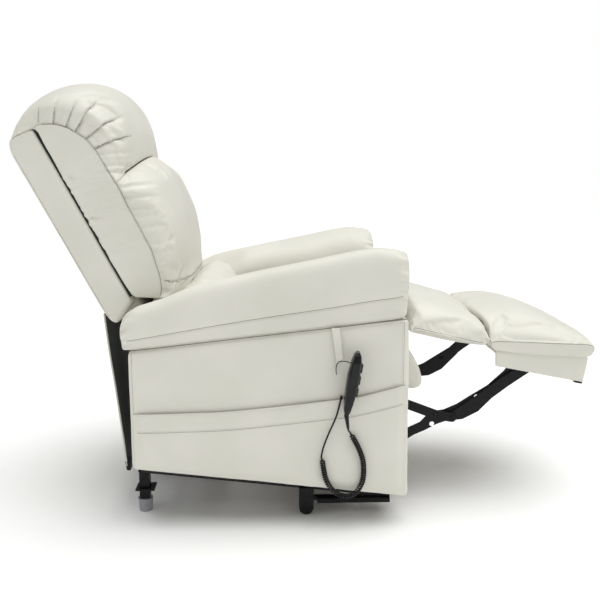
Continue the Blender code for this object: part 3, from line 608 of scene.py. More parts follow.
def stitch_row(name, path, body, spacing=0.0062, length=0.0038, radius=0.00055):
    """A sewn line: short thread ends lying along the path, as one mesh."""
    path = np.asarray(path, float)
    steps = np.r_[0, np.cumsum(np.linalg.norm(np.diff(path, axis=0), axis=1))]
    count = max(2, int(steps[-1] / spacing))
    sides = 5
    turns = [2 * math.pi * k / sides for k in range(sides)]
    edit = bmesh.new()
    for middle in np.linspace(spacing / 2, steps[-1] - spacing / 2, count):
        tail, head = (np.array([np.interp(middle + shift, steps, path[:, k]) for k in range(3)])
                      for shift in (-length / 2, length / 2))
        heading = (head - tail) / np.linalg.norm(head - tail)
        across = np.cross(heading, [0.31, 0.52, 0.79])
        across /= np.linalg.norm(across)
        over = np.cross(heading, across)
        rings = []
        for share, size in ((0, 0.35), (0.25, 1.0), (0.75, 1.0), (1, 0.35)):
            centre = tail + (head - tail) * share
            reach = radius * size
            rings.append([edit.verts.new(centre + reach * (across * math.cos(t) + over * math.sin(t)))
                          for t in turns])
        edit.faces.new(rings[0][::-1])
        edit.faces.new(rings[-1])
        for low, high in zip(rings, rings[1:]):
            for k in range(sides):
                n = (k + 1) % sides
                edit.faces.new((low[k], low[n], high[n], high[k]))
    mesh = bpy.data.meshes.new(name)
    edit.to_mesh(mesh)
    edit.free()
    obj = link_object(name, mesh)
    shade(obj)
    finish_piece(obj, "thread", body)


def surface_path(obj, wanted):
    """Snaps points to the nearest place on a mesh; gives world points and outward normals."""
    bpy.context.view_layer.update()
    return [obj.closest_point_on_mesh(Vector(point))[1:3] for point in wanted]


def seam_on(obj, name, wanted, body, radius, stitches=None):
    """A dark tube laid in a surface along a seam, painted as the seam's shadow, and beside it a row of
    stitches, offset by the given vector.
    """
    snapped = surface_path(obj, wanted)
    line = [p - n * radius * 0.3 for p, n in snapped]
    tube(name, line, radius, "seam", body)
    if stitches:
        beside = surface_path(obj, [Vector(p) + Vector(stitches) for p, n in snapped])
        stitch_row(name + "_stitches", [p + n * 0.0003 for p, n in beside], body)


# ---------------------------------------------------------------- back
SHELL_LEAN = math.radians(27.8)
SHELL_FOOT = (0.361, 0.596)


def back_point(height, depth):
    """(y, z) at a height up the shell's face and a depth in front of it."""
    return (SHELL_FOOT[0] + height * math.sin(SHELL_LEAN) - depth * math.cos(SHELL_LEAN),
            SHELL_FOOT[1] + height * math.cos(SHELL_LEAN) + depth * math.sin(SHELL_LEAN))


HEAD_SEAM = [(0.65, 1.004), (0.626, 1.0155), (0.597, 1.029), (0.577, 1.035), (0.544, 1.036),
             (0.516, 1.029), (0.494, 1.017), (0.47, 1.001), (0.449, 0.977), (0.434, 0.951),
             (0.419, 0.924), (0.399, 0.891)]
HEAD_CROWN = [(0.654, 1.01), (0.657, 1.042), (0.646, 1.074), (0.609, 1.112), (0.566, 1.138), (0.523, 1.151),
              (0.48, 1.154), (0.441, 1.142), (0.405, 1.107), (0.377, 1.052), (0.36, 1.000), (0.352, 0.968)]
HEAD_REAR = [(0.648, 1.003), (0.62, 1.015), (0.594, 1.022), (0.56, 0.97), (0.53, 0.914), (0.5046, 0.866)]
LUMBAR_SEAM = [(0.399, 0.889), (0.388, 0.87), (0.371, 0.832), (0.349, 0.789), (0.33, 0.751), (0.316, 0.722),
               (0.307, 0.69), (0.297, 0.655), (0.294, 0.622), (0.298, 0.599)]
LUMBAR_CROWN = [(0.352, 0.966), (0.334, 0.957), (0.305, 0.922), (0.277, 0.868), (0.253, 0.808),
                (0.241, 0.745), (0.2365, 0.7), (0.237, 0.664), (0.233, 0.632), (0.234, 0.604),
                (0.262, 0.592)]
LUMBAR_REAR = [(0.504, 0.862), (0.46, 0.779), (0.415, 0.697), (0.38, 0.632), (0.363, 0.6)]
# Pleats and gathers of the side facing out: where each starts on the seam, where it ends, and its depth
HEAD_PLEATS = [((0.586, 1.04), (0.583, 1.086), 0.005), ((0.55, 1.036), (0.538, 1.102), 0.008),
               ((0.52, 1.028), (0.482, 1.11), 0.009), ((0.498, 1.017), (0.435, 1.116), 0.01),
               ((0.473, 1.001), (0.374, 1.081), 0.01), ((0.453, 0.977), (0.33, 1.036), 0.01)]
HEAD_GATHERS = [((0.443, 0.961), (0.312, 0.98), 0.004), ((0.435, 0.947), (0.33, 0.957), 0.0022),
                ((0.428, 0.934), (0.31, 0.94), 0.0046), ((0.42, 0.918), (0.325, 0.926), 0.0042)]
LUMBAR_GATHERS = [((0.394, 0.88), (0.272, 0.894), 0.0044), ((0.386, 0.857), (0.278, 0.858), 0.0042),
                  ((0.367, 0.827), (0.285, 0.833), 0.0034), ((0.358, 0.809), (0.302, 0.808), 0.0024),
                  ((0.343, 0.78), (0.278, 0.785), 0.0026), ((0.322, 0.737), (0.282, 0.739), 0.0014),
                  ((0.314, 0.714), (0.272, 0.717), 0.0016), ((0.303, 0.678), (0.266, 0.68), 0.0012)]
PLEAT_WIDTH = 0.0075
GATHER_WIDTH = 0.0066


def crowned(seam, crown, rear, half, power, inset=0.0, drop=None, pace=None):
    """position() for grid_box: a cushion between a sewn outline at its sides and a crown in its middle.
    a runs across the chair, b down the cushion and c from the back of it to its face. drop(b) lowers
    the power, so that the crown falls away sooner towards the sides there. pace gives (b, share of the
    seam's length) pairs where the seam doesn't keep step with the crown."""
    seam, crown, rear = (spline(points, 200) for points in (seam, crown, rear))

    def position(a, b, c):
        side, lift = side_and_lift(a, power)
        if drop:
            lower = power - drop(b)
            lift = (1 - side**lower) ** (1 / lower)
        on_seam = np.interp(b, *zip(*pace)) if pace else b
        face = along(seam, on_seam) * (1 - lift[:, None]) + along(crown, b) * lift[:, None]
        back = along(rear, on_seam)
        yz = back + (face - back) * c[:, None]
        x = np.sign(2 * a - 1) * side * (half - inset * (1 - smoothstep(c, 0.8, 1.0)))
        return np.stack([x, yz[:, 0], yz[:, 1]], 1)

    return position


def side_and_lift(a, power):
    """How far out towards the side a share lies, and how much of the crown's height it has."""
    turn = (1 - np.abs(2 * a - 1)) * math.pi / 2
    return np.clip(np.cos(turn), 0, 1) ** (2 / power), np.sin(turn) ** (2 / power)


def fold(distance, width, sharp):
    """A sewn pleat's section: a steep wall on one side and a soft slope on the other."""
    return np.where(distance < 0, np.exp(distance / (width * sharp)), np.exp(-np.abs(distance) / width))


def creases(points, table, profile):
    """Depth at each point of a table of creases, which lie in the side view; profile is their section."""
    yz = points[:, 1:] - np.array(SHIFT)[1:]
    depth = np.zeros(len(points))
    for start, end, deep in table:
        start, end = np.array(start), np.array(end)
        length = np.linalg.norm(end - start)
        heading = (end - start) / length
        share = (yz - start) @ heading / length
        distance = (yz - start) @ np.array([-heading[1], heading[0]])
        fade = smoothstep(share, -0.1, 0.0) * (1 - smoothstep(share, 0.35, 1.05))
        depth += deep * fade * (profile(distance) - 0.2 * bell(distance, 0.02))
    return depth


def arc_from_side(half, depth, side, power):
    """Length along the face from the side seam to a share across, where the face rises depth."""
    table = np.linspace(0, 1, 400)
    rise = depth * (1 - table**power) ** (1 / power)
    steps = np.r_[0, np.cumsum(np.hypot(np.diff(table * half), np.diff(rise)))]
    return steps[-1] - np.interp(side, table, steps)


def make_cushion(name, counts, shape, half, power, rise, excess=0.02, cap=0.005):
    """A crowned cushion, swollen as cloth; also its b and c shares and the way in from its side seam."""
    obj = grid_box(name, counts, shape)
    swell(obj, excess, cap)
    subdivide(obj)
    a, b, c = shares_of(obj.data)
    side, _ = side_and_lift(a, power)
    return obj, b, c, arc_from_side(half, rise, side, power)


def painted_crease_shadows(obj, name, table, body):
    """Dark tubes painted as the shadow line at the foot of each pleat, along the first part of it, on both
    sides.
    """
    bpy.context.view_layer.update()
    for side in (RIGHT, LEFT):
        for number, (start, end, _) in enumerate(table):
            line = []
            for share in np.linspace(0.0, 0.62, 14):
                y, z = np.array(start) * (1 - share) + np.array(end) * share
                hit, location, normal, _ = obj.ray_cast(place(side * 0.4, y, z), Vector((-side, 0, 0)))
                if hit:
                    line.append(location - normal * 0.0003)
            if len(line) > 4:
                tube(f"{name}_{side_word(side)}_{number + 1}", line, 0.0007, "seam", body)


def make_head_pillow():
    shape = crowned(HEAD_SEAM, HEAD_CROWN, HEAD_REAR, WING_HALF, 2.8, WING_INSET,
                    lambda b: 1.35 * smoothstep(b, 0.72, 1.0))
    obj, _, c, inward = make_cushion("head_pillow_cover", (96, 104, 5), shape, WING_HALF, 2.8, 0.1,
                                     excess=0.03, cap=0.006)
    points = coords(obj.data)
    depth = creases(points, HEAD_PLEATS, lambda d: fold(d, PLEAT_WIDTH, 0.1))
    depth += creases(points, HEAD_GATHERS, lambda d: bell(d, GATHER_WIDTH))
    soft = wrinkles(points, (0.16, 0.1, 0.1), 3.1) * 0.0022
    puff = 0.004 * np.sin(math.pi * np.clip(inward / 0.1, 0, 1))
    near_side = 1 - smoothstep(inward, 0.1, 0.16)
    amounts = smoothstep(c, 0.9, 1.0) * (puff - depth * near_side) + soft * smoothstep(c, 0.3, 1.0)
    upholster(obj, "back", amounts, "head_pillow")
    painted_crease_shadows(obj, "head_pleat", HEAD_PLEATS, "back")


def make_lumbar():
    power = 3.0
    shape = crowned(LUMBAR_SEAM, LUMBAR_CROWN, LUMBAR_REAR, WING_HALF, power, WING_INSET,
                    lambda b: 1.55 * (1 - smoothstep(b, 0.0, 0.22)))
    obj, b, c, inward = make_cushion("lumbar_cushion_cover", (96, 92, 6), shape, WING_HALF, power, 0.11)
    points = coords(obj.data)
    depth = creases(points, LUMBAR_GATHERS, lambda d: bell(d, GATHER_WIDTH))
    near_side = 1 - smoothstep(inward, 0.07, 0.17)
    strip = bell(b - STRIP_PLACE, 0.006) * 0.004 * smoothstep(inward, 0.0, 0.02)
    rumple = wrinkles(points, (0.05, 0.03, 0.018), 7.7) * 0.005
    rumple *= smoothstep(b, STRIP_PLACE + 0.01, STRIP_PLACE + 0.07)
    soft = wrinkles(points, (0.18, 0.12, 0.12), 1.4) * 0.002
    puff = 0.003 * np.sin(math.pi * np.clip(inward / 0.1, 0, 1))
    face = smoothstep(c, 0.92, 1.0)
    amounts = face * (puff - depth * near_side - strip + rumple) + soft * smoothstep(c, 0.3, 1.0)
    upholster(obj, "back", amounts, "lumbar_cushion")
    shares = np.linspace(0.02, 0.98, 160)
    sides, lifts = side_and_lift(shares, power)
    where = np.full(len(shares), STRIP_PLACE)
    seam, crown = (along(spline(curve, 200), where) for curve in (LUMBAR_SEAM, LUMBAR_CROWN))
    yz = seam * (1 - lifts[:, None]) + crown * lifts[:, None]
    line = [place(x, y, z) for x, (y, z) in zip(np.copysign(WING_HALF * sides, shares - 0.5), yz)]
    seam_on(obj, "lumbar_strip_seam", line, "back", 0.0007)


STRIP_PLACE = 0.855
SHELL_OUTLINE = [(-0.002, -0.0125), (0.494, -0.0105), (0.5015, -0.072), (0.489, -0.086), (0.464, -0.0925),
                 (0.02, -0.094), (-0.02, -0.089), (-0.036, -0.077)]
TONGUE_OUTLINE = [(-0.149, -0.0105), (0.02, -0.0105), (0.02, -0.059), (-0.149, -0.059)]
GAP_LINE = [(0.488, -0.002), (0.42, -0.0062), (0.3, -0.0078), (0.15, -0.0078), (0.03, -0.006),
            (0.006, -0.001)]
BOXING_SEAM = ([(0.592, 1.0305), (0.577, 1.0345), (0.544, 1.0355), (0.516, 1.0285)] + HEAD_SEAM[6:]
               + LUMBAR_SEAM[1:-1] + [(0.299, 0.597)])
BOXING_PINCHES = [(0.513, 0.905), (0.463, 0.806)]


def make_boxing(side):
    """The gathered strip down the side of the back, between the shell and the sewn edge of the cushions."""
    word = side_word(side)
    gap = spline([back_point(h, d) for h, d in GAP_LINE], 200)
    seam = spline(BOXING_SEAM, 200)

    def position(a, b, c):
        yz = along(gap, b) * (1 - a)[:, None] + along(seam, b) * a[:, None]
        edge = np.minimum(np.minimum(a / 0.07, (1 - a) / 0.04), (1 - b) / 0.05)
        outer = 0.2985 + 0.0065 * np.sqrt(1 - (1 - np.clip(edge, 0, 1)) ** 2)
        x = 0.286 + (outer - 0.286) * c
        return np.stack([side * x, yz[:, 0], yz[:, 1]], 1)

    obj = grid_box(f"back_boxing_{word}", (40, 150, 3), position)
    subdivide(obj)
    a, b, c = shares_of(obj.data)
    flat = coords(obj.data) - np.array(SHIFT)
    slanted = flat.copy()
    slanted[:, 2] += 0.25 * flat[:, 1]
    middle = smoothstep(b, 0.22, 0.36) * (1 - smoothstep(b, 0.66, 0.88))
    amount = wrinkles(slanted, (0.3, 0.09, 0.013), 5.2) * 0.0034 * middle
    amount += wrinkles(flat, (0.3, 0.05, 0.05), 2.6) * 0.0016
    for y, z in BOXING_PINCHES:
        reach = np.hypot(flat[:, 1] - y, flat[:, 2] - z)
        swirl = np.arctan2(flat[:, 2] - z, flat[:, 1] - y)
        amount += 0.0008 * np.cos(swirl * 5) * bell(reach, 0.028) - 0.0045 * bell(reach, 0.01)
    upholster(obj, "back", amount * smoothstep(c, 0.6, 1.0))
    # dark tube along the sewn edge: painted shadow of the seam
    line = [place(side * 0.305, y, z) for y, z in seam[6:-2:2]]
    tube(f"back_boxing_seam_{word}", line, 0.0007, "seam", "back")
    # near-black tube in the gap between shell and boxing: painted shadow
    shadow = [place(side * 0.2945, *back_point(h, -0.0098)) for h in np.linspace(0.012, 0.486, 40)]
    tube(f"back_gap_painted_shadow_{word}", shadow, 0.0034, "painted_shade_black", "back")


def make_shell():
    outline = [back_point(h, d) for h, d in SHELL_OUTLINE]
    obj = slab("back_shell_cover", outline, -0.3035, 0.3035, bevel=0.009, voxel=0.0065)
    upholster(obj, "back", wrinkles(coords(obj.data), (0.22, 0.13, 0.17), 2.2) * 0.0014, "back_shell")
    tongue = [back_point(h, d) for h, d in TONGUE_OUTLINE]
    lower = slab("back_shell_tongue_cover", tongue, -0.229, 0.229, bevel=0.008, voxel=0.007)
    upholster(lower, "back")
    for side in (RIGHT, LEFT):
        edge = [place(side * 0.304, *back_point(h, -0.087)) for h in np.linspace(-0.012, 0.456, 40)]
        seam_on(obj, f"shell_rear_seam_{side_word(side)}", edge, "back", 0.0006)


def make_lower_back():
    outline = [(0.34, 0.586), (0.2785, 0.47), (0.21, 0.457), (0.152, 0.482), (0.116, 0.53),
               (0.121, 0.588), (0.16, 0.63), (0.205, 0.637), (0.225, 0.622), (0.258, 0.61)]
    obj = slab("lower_back_cover", outline, -0.243, 0.243, bevel=0.016, voxel=0.008, smooth_rounds=8)
    folds = wrinkles(coords(obj.data), (0.09, 0.05, 0.025), 4.4) * 0.004
    upholster(obj, "back", folds, "lower_back_cushion")


# ---------------------------------------------------------------- arms
ARM_FRONT, ARM_REAR = -0.331, 0.386
ARM_FRONT_DEPTH, ARM_REAR_DEPTH = 0.042, 0.04
ARM_AROUND = 72


def band_height(y):
    """Lower line of the band under the arm roll, where it meets the panel."""
    return 0.5205 - 0.1105 * y


def roll_seam_height(y):
    return np.interp(y, [-0.338, -0.309, -0.229, -0.146, -0.066, 0.025, 0.15, 0.237, 0.386],
                     [0.614, 0.612, 0.602, 0.588, 0.577, 0.564, 0.544, 0.529, 0.503])


def arm_crown(y):
    return np.interp(y, [-0.338, -0.3, -0.254, -0.201, -0.094, 0.033, 0.156, 0.209, 0.28, 0.344,
                         0.37, 0.386],
                     [0.722, 0.73, 0.7345, 0.727, 0.705, 0.68, 0.654, 0.639, 0.609, 0.59, 0.574, 0.556])


def arm_section(y):
    """Closed (x, z) section of the arm roll, for the arm on the +x side, from the panel's top outwards."""
    foot, seam, top = band_height(y), roll_seam_height(y), arm_crown(y)
    rise = top - seam
    inner = rise * (1 - 0.32 * smoothstep(y, 0.09, 0.19))  # room for the back to lean further
    return np.array([
        (0.388, foot), (0.393, foot + 0.5 * (seam - foot)), (0.3975, seam - 0.002),
        (0.4045, seam + 0.1 * rise), (0.4095, seam + 0.3 * rise), (0.4098, seam + 0.55 * rise),
        (0.4035, seam + 0.8 * rise),
        (0.39, seam + 0.955 * rise), (0.37, seam + rise), (0.34, seam + 0.48 * (rise + inner)),
        (0.305, seam + 0.86 * inner), (0.275, seam + 0.7 * inner), (0.256, seam + 0.46 * inner),
        (0.251, seam + 0.2 * inner), (0.251, seam - 0.2 * (seam - foot)), (0.252, foot + 0.004),
        (0.27, foot), (0.32, foot), (0.36, foot),
    ])


def closed_spline(points, count):
    wrapped = np.vstack([points[-3:], points, points[:3]])
    dense = spline(wrapped, 1200)
    start = np.argmin(np.linalg.norm(dense[:600] - points[0], axis=1))
    end = 600 + np.argmin(np.linalg.norm(dense[600:] - points[0], axis=1))
    return along(dense[start:end + 1], np.linspace(0, 1, count, endpoint=False))


def end_scale(y):
    """How much of the roll's full section is left near its two ends."""
    front = np.clip((y - ARM_FRONT) / ARM_FRONT_DEPTH, 0, 1)
    rear = np.clip((ARM_REAR - y) / ARM_REAR_DEPTH, 0, 1)
    return min((1 - (1 - front) ** 2.4) ** (1 / 2.4), (1 - (1 - rear) ** 2.2) ** (1 / 2.2))


def arm_ring(y):
    """(x, z) points of the roll at y, with the gathers that run into its ends."""
    section = closed_spline(arm_section(y), ARM_AROUND)
    scale = end_scale(y)
    centre = np.array([0.33, (band_height(y) + arm_crown(y)) / 2 - 0.004])
    above = np.clip((section[:, 1] - roll_seam_height(y)) / (arm_crown(y) - roll_seam_height(y)), 0, 1)
    out = section - centre
    angle = np.arctan2(out[:, 1], out[:, 0])
    depth = 0.006 * np.sin(math.pi * np.clip((1 - scale) * 1.3, 0, 1)) ** 0.7
    gather = depth * np.sin(angle * 19 + 0.8 * np.sin(angle * 5)) * smoothstep(above, -0.15, 0.2)
    heading = out / np.linalg.norm(out, axis=1)[:, None]
    return centre + out * (0.8 + 0.2 * scale) + heading * gather[:, None]


def bridge(faces, low, high):
    for k in range(len(low)):
        n = (k + 1) % len(low)
        faces.append((low[k], low[n], high[n], high[k]))


def close_end(verts, faces, ring, bulge):
    """Domed cap over an end of the roll, of smaller and smaller rings."""
    centre = sum((verts[k] for k in ring), Vector()) / len(ring)
    previous = ring
    for share in (0.86, 0.68, 0.46, 0.22):
        inner = [len(verts) + k for k in range(len(ring))]
        verts += [centre.lerp(verts[k], share) + Vector((0, bulge * (1 - share**2), 0)) for k in ring]
        bridge(faces, previous, inner)
        previous = inner
    faces.append(tuple(previous))


def make_arm(side):
    word = side_word(side)
    turns = 1 - np.cos(np.linspace(0, 1, 12) * math.pi / 2)
    front_y = ARM_FRONT + ARM_FRONT_DEPTH * turns
    rear_y = ARM_REAR - ARM_REAR_DEPTH * turns
    middle = np.linspace(front_y[-1], rear_y[-1], 96)[1:-1]
    verts, faces, rings = [], [], []
    for y in np.r_[front_y, middle, rear_y[::-1]]:
        rings.append([len(verts) + k for k in range(ARM_AROUND)])
        verts += [place(side * x, y, z) for x, z in arm_ring(y)]
    for low, high in zip(rings, rings[1:]):
        bridge(faces, low, high)
    close_end(verts, faces, rings[0], -0.004)
    close_end(verts, faces, rings[-1], 0.004)
    mesh = bpy.data.meshes.new(f"arm_roll_{word}")
    mesh.from_pydata(verts, [], faces)
    obj = link_object(f"arm_roll_{word}", mesh)
    fix_normals(mesh)
    subdivide(obj)
    folds = wrinkles(coords(obj.data), (0.11, 0.2, 0.09), 6.0 + side) * 0.0016
    upholster(obj, "chair", folds, f"arm_pad_{word}")
    ys = np.linspace(ARM_FRONT + 0.012, ARM_REAR - 0.016, 90)
    line = [place(side * 0.402, y, roll_seam_height(y) - 0.001) for y in ys]
    seam_on(obj, f"arm_roll_seam_{word}", line, "chair", 0.0009, stitches=(0, 0, -0.0045))


PANEL_OUTLINE = [(0.372, 0.166), (-0.3425, 0.0815), (-0.3355, 0.557), (0.372, 0.479)]


def make_panel(side):
    word = side_word(side)
    low, high = sorted((side * 0.2575, side * ARM_FACE))
    obj = slab(f"arm_panel_{word}_cover", PANEL_OUTLINE, low, high, bevel=0.01, voxel=0.006)
    points = coords(obj.data)
    folds = wrinkles(points, (0.2, 0.15, 0.11), 8.0 + side) * 0.0015
    folds += wrinkles(points, (0.2, 0.45, 0.05), 3.0) * 0.0006
    upholster(obj, "chair", folds, f"arm_panel_{word}")
    face = side * (ARM_FACE + 0.001)
    # dark tube at the foot of the band: painted shadow where the roll meets the panel
    line = [place(face, y, band_height(y) - 0.0005) for y in np.linspace(-0.328, 0.366, 90)]
    tube(f"band_line_{word}", line, 0.0011, "seam", "chair")
    edge = [place(face, -0.3225, z) for z in np.linspace(0.094, 0.55, 60)]
    seam_on(obj, f"panel_front_seam_{word}", edge, "chair", 0.00045, stitches=(0, 0.004, 0))
    rear = [place(face, 0.3615, z) for z in np.linspace(0.176, 0.478, 50)]
    seam_on(obj, f"panel_rear_seam_{word}", rear, "chair", 0.00045)
    bottom = [place(side * 0.384, y, 0.12154 + 0.119 * y) for y in np.linspace(0.02, 0.352, 40)]
    tube(f"panel_underside_line_{word}", bottom, 0.0022, "black_plastic", "chair")


# ---------------------------------------------------------------- pocket
POCKET_TOP = [(0.361, 0.315), (0.242, 0.3175), (0.127, 0.321), (-0.008, 0.333), (-0.144, 0.348),
              (-0.213, 0.357), (-0.329, 0.386)]
POCKET_BOTTOM = [(0.361, 0.171), (-0.331, 0.0905)]
POCKET_FACE = 0.401
POCKET_THICK = 0.0023


def make_pocket():
    """Pocket cloth: a sheet sewn down at its ends and foot, with a folded hem along its top."""
    top = spline(POCKET_TOP, 200)
    bottom = spline(POCKET_BOTTOM, 200)

    def mid(a, b):
        yz = along(bottom, a) * (1 - b)[:, None] + along(top, a) * b[:, None]
        edge = np.minimum(np.minimum(a, 1 - a) / 0.035, b / 0.1)
        x = -(ARM_FACE + 0.0022) - (POCKET_FACE - ARM_FACE - 0.0034) * smoothstep(edge, 0.0, 1.0)
        return np.stack([x, yz[:, 0], yz[:, 1]], 1)

    def position(a, b, c):
        points = mid(a, b)
        loose = smoothstep(b, 0.5, 1.0) * smoothstep(np.minimum(a, 1 - a), 0, 0.1)
        ripple = 0.0009 * np.sin(a * 21 + 3 * b) * loose - 0.0006 * np.sin(a * 9)
        points[:, 0] += (c - 0.5) * -POCKET_THICK + ripple
        return points

    obj = grid_box("side_pocket_sheet", (150, 44, 2), position)
    shade(obj, 50)
    finish_piece(obj, "leather", "chair", replaced=("side_pocket",))
    share = np.linspace(0.012, 0.988, 120)
    height = np.linalg.norm(along(top, share) - along(bottom, share), axis=1)

    def on_face(drop, out):
        return [place(*p) - Vector((POCKET_THICK / 2 + out, 0, 0)) for p in mid(share, 1 - drop / height)]

    edge = [place(*p) + Vector((-0.0004, 0, -0.0006)) for p in mid(share, np.ones_like(share))]
    tube("pocket_hem_roll", edge, 0.0024, "piping", "chair")
    seam_on(obj, "pocket_hem_line", on_face(0.0475, 0.0008), "chair", 0.0005)
    stitch_row("pocket_hem_stitches", on_face(0.0445, 0.0009), "chair")


# ---------------------------------------------------------------- seat, apron, leg pad and ottoman
def make_seat():
    obj = slab("seat_cushion_cover", SEAT_OUTLINE, -0.2455, 0.2455, bevel=0.016, voxel=0.008, smooth_rounds=8)
    points = coords(obj.data)
    folds = wrinkles(points, (0.12, 0.12, 0.12), 4.9) * 0.003 * smoothstep(points[:, 2], 0.49, 0.54)
    upholster(obj, "chair", folds, "seat_cushion")


def make_apron():
    obj = slab("front_apron_cover", APRON_OUTLINE, -0.2305, 0.2305, bevel=0.006, voxel=0.005, smooth_rounds=6)
    folds = wrinkles(coords(obj.data), (0.09, 0.05, 0.07), 9.1) * 0.0014
    upholster(obj, "chair", folds, "front_rail_pad")
    line = [place(x, -0.392, 0.372) for x in np.linspace(-0.226, 0.226, 60)]
    seam_on(obj, "front_apron_seam", line, "chair", 0.0008, stitches=(0, 0.0, 0.005))


SEAT_OUTLINE = [(-0.326, 0.3875), (0.048, 0.3875), (0.056, 0.42), (0.05, 0.498), (0.02, 0.525),
                (-0.15, 0.545), (-0.29, 0.568), (-0.336, 0.568), (-0.353, 0.543), (-0.353, 0.5),
                (-0.349, 0.474), (-0.326, 0.474)]
APRON_OUTLINE = [(-0.3315, 0.4675), (-0.35, 0.4615), (-0.376, 0.425), (-0.397, 0.385), (-0.4055, 0.355),
                 (-0.402, 0.335), (-0.385, 0.3265), (-0.349, 0.329), (-0.3385, 0.34), (-0.3315, 0.36)]
FOOT_HALF = 0.246
LIP_HALF = 0.2495
SKIRT_INNER = 0.24
LEG_TOP = [(-0.366, 0.5), (-0.364, 0.545), (-0.372, 0.583), (-0.406, 0.582), (-0.45, 0.571),
           (-0.5, 0.559), (-0.538, 0.551), (-0.565, 0.542), (-0.583, 0.5), (-0.587, 0.466)]
LEG_SEAM = [(-0.366, 0.4945), (-0.3655, 0.499), (-0.374, 0.5), (-0.4, 0.4945), (-0.44, 0.4855),
            (-0.5, 0.471), (-0.54, 0.4615), (-0.568, 0.4565), (-0.583, 0.458), (-0.587, 0.464)]
LEG_UNDER = [(-0.366, 0.491), (-0.41, 0.481), (-0.466, 0.468), (-0.52, 0.459), (-0.567, 0.454),
             (-0.582, 0.459)]
OTTOMAN_TOP = [(-0.588, 0.46), (-0.585, 0.497), (-0.57, 0.538), (-0.59, 0.545), (-0.618, 0.549),
               (-0.65, 0.5505), (-0.69, 0.545), (-0.74, 0.529), (-0.79, 0.5075), (-0.84, 0.4855),
               (-0.867, 0.472), (-0.875, 0.454)]
OTTOMAN_SEAM = [(-0.588, 0.451), (-0.587, 0.459), (-0.594, 0.464), (-0.64, 0.464), (-0.68, 0.4625),
                (-0.73, 0.46), (-0.79, 0.457), (-0.84, 0.4545), (-0.866, 0.4515), (-0.874, 0.444)]
OTTOMAN_UNDER = [(-0.598, 0.44), (-0.683, 0.43), (-0.74, 0.426), (-0.8, 0.4225), (-0.856, 0.4205),
                 (-0.872, 0.434)]
BOW = 0.034
LEG_PACE = [(0.0, 0.0), (0.12, 0.08), (0.77, 0.93), (1.0, 1.0)]
OTTOMAN_PACE = [(0.0, 0.0), (0.2, 0.05), (0.9, 0.92), (1.0, 1.0)]


def bowed(position, weight):
    """Bends the end of a pad towards the chair in its middle, where the two leg cushions meet."""
    def moved(a, b, c):
        points = position(a, b, c)
        middle = np.clip(1 - (points[:, 0] / 0.225) ** 2, 0, 1) ** 1.3
        points[:, 1] += BOW * middle * weight(b) * smoothstep(points[:, 2], 0.46, 0.53)
        return points

    return moved


def make_leg_pad():
    shape = bowed(crowned(LEG_SEAM, LEG_TOP, LEG_UNDER, FOOT_HALF, 2.4, 0.002, pace=LEG_PACE),
                  lambda b: smoothstep(b, 0.45, 0.9))
    obj, b, c, inward = make_cushion("leg_pad_cover", (80, 50, 6), shape, FOOT_HALF, 2.4, 0.06)
    pucker = np.sin(b * 120) * 0.0026 * bell(b - 0.88, 0.1) * bell(inward, 0.04)
    folds = wrinkles(coords(obj.data), (0.1, 0.09, 0.09), 12.3) * 0.0025 + pucker
    upholster(obj, "leg_pad", smoothstep(c, 0.9, 1.0) * folds, "leg_pad")
    piping = spline(LEG_SEAM, 60)[4:-7]
    for side in (RIGHT, LEFT):
        line = [place(side * (FOOT_HALF + 0.0005), y, z + 0.0005) for y, z in piping]
        raised = [p + Vector((0, 0, 0.0032)) for p in line]
        tube(f"leg_pad_piping_{side_word(side)}", line, 0.0024, "piping", "leg_pad")
        seam_on(obj, f"leg_pad_piping_line_{side_word(side)}", raised, "leg_pad", 0.0008)


def make_ottoman():
    shape = bowed(crowned(OTTOMAN_SEAM, OTTOMAN_TOP, OTTOMAN_UNDER, LIP_HALF, 2.2, pace=OTTOMAN_PACE),
                  lambda b: 1 - smoothstep(b, 0.12, 0.45))
    obj, b, c, inward = make_cushion("ottoman_cover", (80, 72, 5), shape, LIP_HALF, 2.2, 0.07)
    pucker = np.sin(b * 130) * 0.0028 * bell(b, 0.12) * bell(inward, 0.045)
    folds = wrinkles(coords(obj.data), (0.11, 0.11, 0.1), 14.9) * 0.0025 + pucker
    upholster(obj, "ottoman", smoothstep(c, 0.9, 1.0) * folds, "ottoman_pad")
    seam = spline(OTTOMAN_SEAM, 80)[3:-1]
    for side in (RIGHT, LEFT):
        line = [place(side * (LIP_HALF + 0.0008), y, z) for y, z in seam]
        seam_on(obj, f"ottoman_edge_seam_{side_word(side)}", line, "ottoman", 0.0008)


def make_skirt():
    """Leather-wrapped board: its walls and its deck, open below for the links."""
    wall = [(-0.602, 0.394), (-0.849, 0.345), (-0.86, 0.412), (-0.852, 0.429), (-0.6, 0.439)]
    front = [(-0.843, 0.3462), (-0.849, 0.345), (-0.86, 0.412), (-0.852, 0.429), (-0.845, 0.429)]
    deck = [(-0.603, 0.425), (-0.846, 0.417), (-0.846, 0.429), (-0.603, 0.439)]
    pieces = [
        slab(f"ottoman_skirt_{word}", outline, low, high, bevel=0.002, voxel=voxel, smooth_rounds=2)
        for word, outline, low, high, voxel in (
            ("right", wall, -0.2457, -SKIRT_INNER, 0.0025), ("left", wall, SKIRT_INNER, 0.2457, 0.0025),
            ("front", front, -SKIRT_INNER, SKIRT_INNER, 0.0035),
            ("deck", deck, -SKIRT_INNER, SKIRT_INNER, 0.0045))
    ]
    for obj in pieces:
        shade(obj)
        finish_piece(obj, "leather", "ottoman")
    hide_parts("ottoman_board")
    pad = [(-0.824, 0.352), (-0.8475, 0.3475), (-0.8465, 0.3415), (-0.825, 0.3455)]
    for side in (RIGHT, LEFT):
        foot = slab(f"ottoman_corner_pad_{side_word(side)}", pad, *sorted((side * 0.23, side * 0.2452)),
                    bevel=0.0012, voxel=0.0012, smooth_rounds=1)
        shade(foot)
        finish_piece(foot, "black_plastic", "ottoman")


